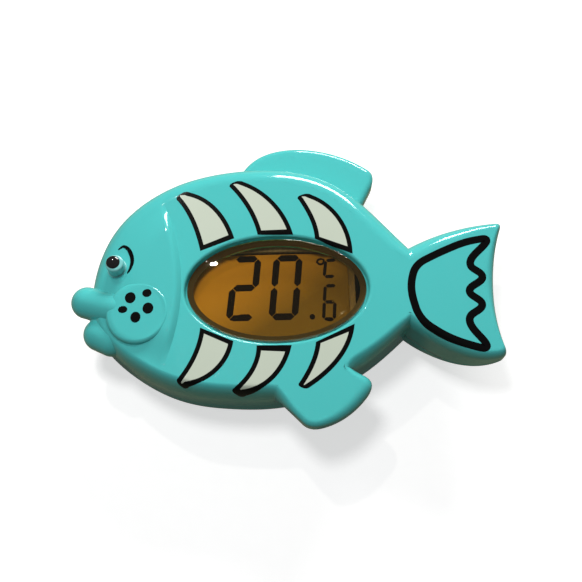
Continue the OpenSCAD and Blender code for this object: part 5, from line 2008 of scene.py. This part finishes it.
def brass():
    """Rolled brass of the battery contacts."""
    return metal("brass", (0.70, 0.50, 0.20), (0.45, 0.30, 0.14), (18, 1, 1), 0.25, 0.12)


def black_resin():
    """Potting resin of the chip and the thermistor's bead."""
    return moulded("black_resin", (0.012, 0.012, 0.013), 0.3, 0.28, 0.2, 1.0, 0.1, 0.06)


def black_plastic():
    """Plastic of the push switch and its plunger."""
    return moulded("black_plastic", (0.02, 0.02, 0.022), 0.2, 0.4, 0.12, 1.0, 0.2, 0.04)


def segment_ink():
    """Black of the display's segments."""
    return moulded("segment_ink", (0.003, 0.002, 0.001), 0.1, 0.5, 0.1, 1.0, 0.0, 0.005,
                   Specular_IOR_Level=0.0)


def node_finishes():
    """Material of each CAD node that keeps its mesh. The numbers of a moulded finish are its
    clouding, gloss, spread of gloss, skin, marks and depth."""
    return {
        "perimeter_seal": seal_rubber(),
        "shell_screws": steel(),
        # The gasket's dark brown is partly its own colour and partly painted shade, standing for the
        # ring in the rim's shadow seen through the lens.
        "window_gasket": moulded("clear_seal_painted_shade", (0.045, 0.03, 0.008), 0.1, 0.35, 0.1, 1.0, 0.1, 0.02),
        "lcd_front_polariser": clear_sheet("polariser", (0.12, 0.08, 0.02), 0.012, 0.25),
        "lcd_front_glass": clear_sheet("front_glass", GOLD_GLASS, 0.002, 0.1),
        "lcd_segments": segment_ink(),
        "lcd_rear_glass": clear_sheet("rear_glass", GOLD_GLASS, 0.002, 0.1),
        "lcd_reflector": reflector(),
        "lcd_holder": moulded("holder_plastic", (0.09, 0.06, 0.025), 0.2, 0.4, 0.12, 1.0, 0.2, 0.04),
        "contact_strips": layered_rubber(),
        "circuit_board": board_finish(),
        "board_screws": steel(),
        "controller_chip": black_resin(),
        "timing_crystal": steel(),
        "chip_components": moulded("chip_parts", (0.16, 0.10, 0.06), 0.6, 0.4, 0.15, 1.0, 0.1, 0.03),
        "push_switch": black_plastic(),
        "switch_plunger": black_plastic(),
        "key_seal": seal_rubber(),
        "coin_cell": cell_steel(),
        "positive_contact": brass(),
        "negative_contact": brass(),
        "battery_cap_seal": seal_rubber(),
        "sensor_seal": seal_rubber(),
        "sensor_clip": moulded("white_plastic", (0.62, 0.60, 0.55), 0.1, 0.42, 0.1, 1.0, 0.2, 0.03),
        "thermistor": black_resin(),
        "thermistor_leads": moulded("lead_coat", (0.30, 0.03, 0.02), 0.2, 0.35, 0.1, 1.0, 0.2, 0.02),
    }


DISPLAY_GLASS = ("lcd_front_glass", "lcd_rear_glass")
LIGHT_PASSES = ("lcd_front_polariser", "lcd_segments") + DISPLAY_GLASS


class THERMO_OT_finishes(bpy.types.Operator):
    """Give every carried-over CAD piece its material"""

    bl_idname = "thermo.finishes"
    bl_label = "Inner Finishes"

    def execute(self, context):
        for name, material in node_finishes().items():
            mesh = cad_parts[name].data
            mesh.materials.clear()
            mesh.materials.append(material)
        for name in LIGHT_PASSES:
            let_light_through(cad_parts[name])
        for name in DISPLAY_GLASS:
            # Its face touches the segments, and through the lens they would show broken
            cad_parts[name].visible_transmission = False
        return {"FINISHED"}


# ---- Stage ---------------------------------------------------------------------------------
CAMERA_AT = (1.78, -87.34, 271.33)
CAMERA_AIM = (3.89, -1.1, 25)
CAMERA_NEAR = 0.01
SENSOR_WIDTH = 36
FLOOR_HALF = 1.6
FLOOR_GLOW = 0.62
FLOOR_MIRRORED = 0.08
FLOOR_WHITE = ((0.62, 0.62, 0.62, 1), (0.58, 0.58, 0.58, 1))
FLOOR_WARM = ((0.21, 0.20, 0.08, 1), (0.18, 0.17, 0.07, 1))
WHITE = (1, 1, 1, 1)
ROOM_COLOUR = (0.92, 0.96, 1.0, 1)
# Of each lamp, in metres: its place, the place it is aimed at and its size
KEY_LAMP = ((0.138, 0.48, 0.247), (0, 0, 0.015), 0.25, 0.145)
BULB_LAMP = ((-0.158, 0.343, 0.52), (-0.018, 0.008, 0.025), 0.018)
TOP_LAMP = ((-0.075, 0.07, 0.43), (0, 0, 0.015), 0.10)


def turn_towards(obj, at, aim):
    """Puts a lamp or the camera in its place and turns it to what it is aimed at."""
    obj.location = at
    obj.rotation_euler = (Vector(aim) - Vector(at)).to_track_quat("-Z", "Y").to_euler()
    bpy.context.scene.collection.objects.link(obj)


def floor_finish():
    """White floor that keeps the object's shadow; reflections show it dimmer, and it throws a
    warm, dim light back up."""

    def make(tree, shader):
        path = tree.nodes.new("ShaderNodeLightPath").outputs
        mirrored = maths(tree, "MAXIMUM", path["Is Glossy Ray"], path["Is Transmission Ray"])
        dimmed = times(tree, mirrored, FLOOR_MIRRORED)
        seen = maths(tree, "MAXIMUM", path["Is Camera Ray"], dimmed)
        grain = noise(tree, object_place(tree), 300.0, 3.0)
        colour = blend(tree, seen, blend(tree, grain, *FLOOR_WARM), blend(tree, grain, *FLOOR_WHITE))
        tree.links.new(colour, shader.inputs["Base Color"])
        glow = node(tree, "ShaderNodeEmission", Color=WHITE, Strength=FLOOR_GLOW)
        none = node(tree, "ShaderNodeEmission", Color=WHITE, Strength=0.0)
        extra = node(tree, "ShaderNodeMixShader", _0=seen, _1=none.outputs[0], _2=glow.outputs[0])
        both = node(tree, "ShaderNodeAddShader", _0=shader.outputs[0], _1=extra.outputs[0])
        tree.links.new(both.outputs[0], tree.nodes["Material Output"].inputs["Surface"])

    return finish("floor", (0.9, 0.9, 0.9), make, Roughness=0.9, Specular_IOR_Level=0.0)


def plain_floor():
    """The floor under the object."""
    bm = bmesh.new()
    bmesh.ops.create_grid(bm, x_segments=24, y_segments=24, size=FLOOR_HALF)
    mesh = bpy.data.meshes.new("floor")
    bm.to_mesh(mesh)
    bm.free()
    mesh.materials.append(floor_finish())
    ground = bpy.data.objects.new("floor", mesh)
    bpy.context.scene.collection.objects.link(ground)
    ground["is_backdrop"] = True


def lamp(name, place, power, colour):
    """Area lamp: a disc, or a rectangle where its place gives two sizes."""
    at, aim, size, *height = place
    data = bpy.data.lights.new(name, "AREA")
    data.shape = "RECTANGLE" if height else "DISK"
    data.size = size
    if height:
        data.size_y = height[0]
    data.energy = power
    data.color = colour
    obj = bpy.data.objects.new(name, data)
    turn_towards(obj, at, aim)
    return obj


def room_light(strength):
    """Even light of the room, white where the camera sees it."""
    world = bpy.data.worlds.new("room")
    world.use_nodes = True
    tree = world.node_tree
    dim = tree.nodes["Background"]
    dim.inputs["Color"].default_value = ROOM_COLOUR
    dim.inputs["Strength"].default_value = strength
    white = node(tree, "ShaderNodeBackground", Color=WHITE, Strength=1.0)
    seen = tree.nodes.new("ShaderNodeLightPath").outputs["Is Camera Ray"]
    both = node(tree, "ShaderNodeMixShader", _0=seen, _1=dim.outputs[0], _2=white.outputs[0])
    tree.links.new(both.outputs[0], tree.nodes["World Output"].inputs["Surface"])
    return world


class THERMO_OT_stage(bpy.types.Operator):
    """Set up the floor, the light and the camera"""

    bl_idname = "thermo.stage"
    bl_label = "Stage"

    def execute(self, context):
        scene = context.scene
        settings = scene.thermometer_stage
        plain_floor()
        key = lamp("key", KEY_LAMP, settings.key, (1.0, 0.98, 0.95))
        lamp("bulb", BULB_LAMP, settings.bulb, (1.0, 0.97, 0.90))
        top = lamp("top", TOP_LAMP, settings.fill, (1.0, 1.0, 1.0))
        top.visible_glossy = False
        key.visible_transmission = top.visible_transmission = False
        scene.world = room_light(settings.world)
        data = bpy.data.cameras.new("camera")
        data.lens = settings.lens
        data.sensor_width = SENSOR_WIDTH
        data.clip_start = CAMERA_NEAR
        camera = bpy.data.objects.new("camera", data)
        turn_towards(camera, Vector(CAMERA_AT) * MM, Vector(CAMERA_AIM) * MM)
        scene.camera = camera
        scene.view_settings.view_transform = "Standard"
        return {"FINISHED"}


# ---- Panel and registration ----------------------------------------------------------------
class THERMO_PT_panel(bpy.types.Panel):
    """The thermometer's pieces, one button each"""

    bl_idname = "THERMO_PT_panel"
    bl_label = "Pool Thermometer"
    bl_space_type = "VIEW_3D"
    bl_region_type = "UI"
    bl_category = "Thermometer"

    def draw(self, context):
        for step in STEPS:
            self.layout.operator(step.bl_idname)
        for name, kind in GROUPS.items():
            box = self.layout.box()
            for label in kind.__annotations__:
                box.prop(getattr(context.scene, name), label)


STEPS = (
    THERMO_OT_front_shell, THERMO_OT_rear_shell, THERMO_OT_head_features, THERMO_OT_printing,
    THERMO_OT_window_lens, THERMO_OT_back_pieces, THERMO_OT_finishes, THERMO_OT_stage,
)
GROUPS = {
    "thermometer_shell": ShellSizes, "thermometer_finishes": Finishes,
    "thermometer_print": PrintSizes, "thermometer_stage": StageSettings,
}


def register():
    """Adds the classes and their settings to Blender."""
    for cls in (*GROUPS.values(), *STEPS, THERMO_PT_panel):
        bpy.utils.register_class(cls)
    for name, kind in GROUPS.items():
        setattr(bpy.types.Scene, name, bpy.props.PointerProperty(type=kind))


def unregister():
    """Takes the settings and the classes out of Blender."""
    for name in GROUPS:
        delattr(bpy.types.Scene, name)
    for cls in reversed((*GROUPS.values(), *STEPS, THERMO_PT_panel)):
        bpy.utils.unregister_class(cls)


def corners(box):
    """A box as plain lists of numbers."""
    return [[float(v) for v in corner] for corner in box]


def main():
    """Builds every piece and the stage, and works out the sizes of both models."""
    register()
    for step in STEPS:
        family, name = step.bl_idname.split(".")
        getattr(getattr(bpy.ops, family), name)()
    {"cad": corners(CAD_BOX), "visual": corners(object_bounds())}


if __name__ == "__main__":
    main()
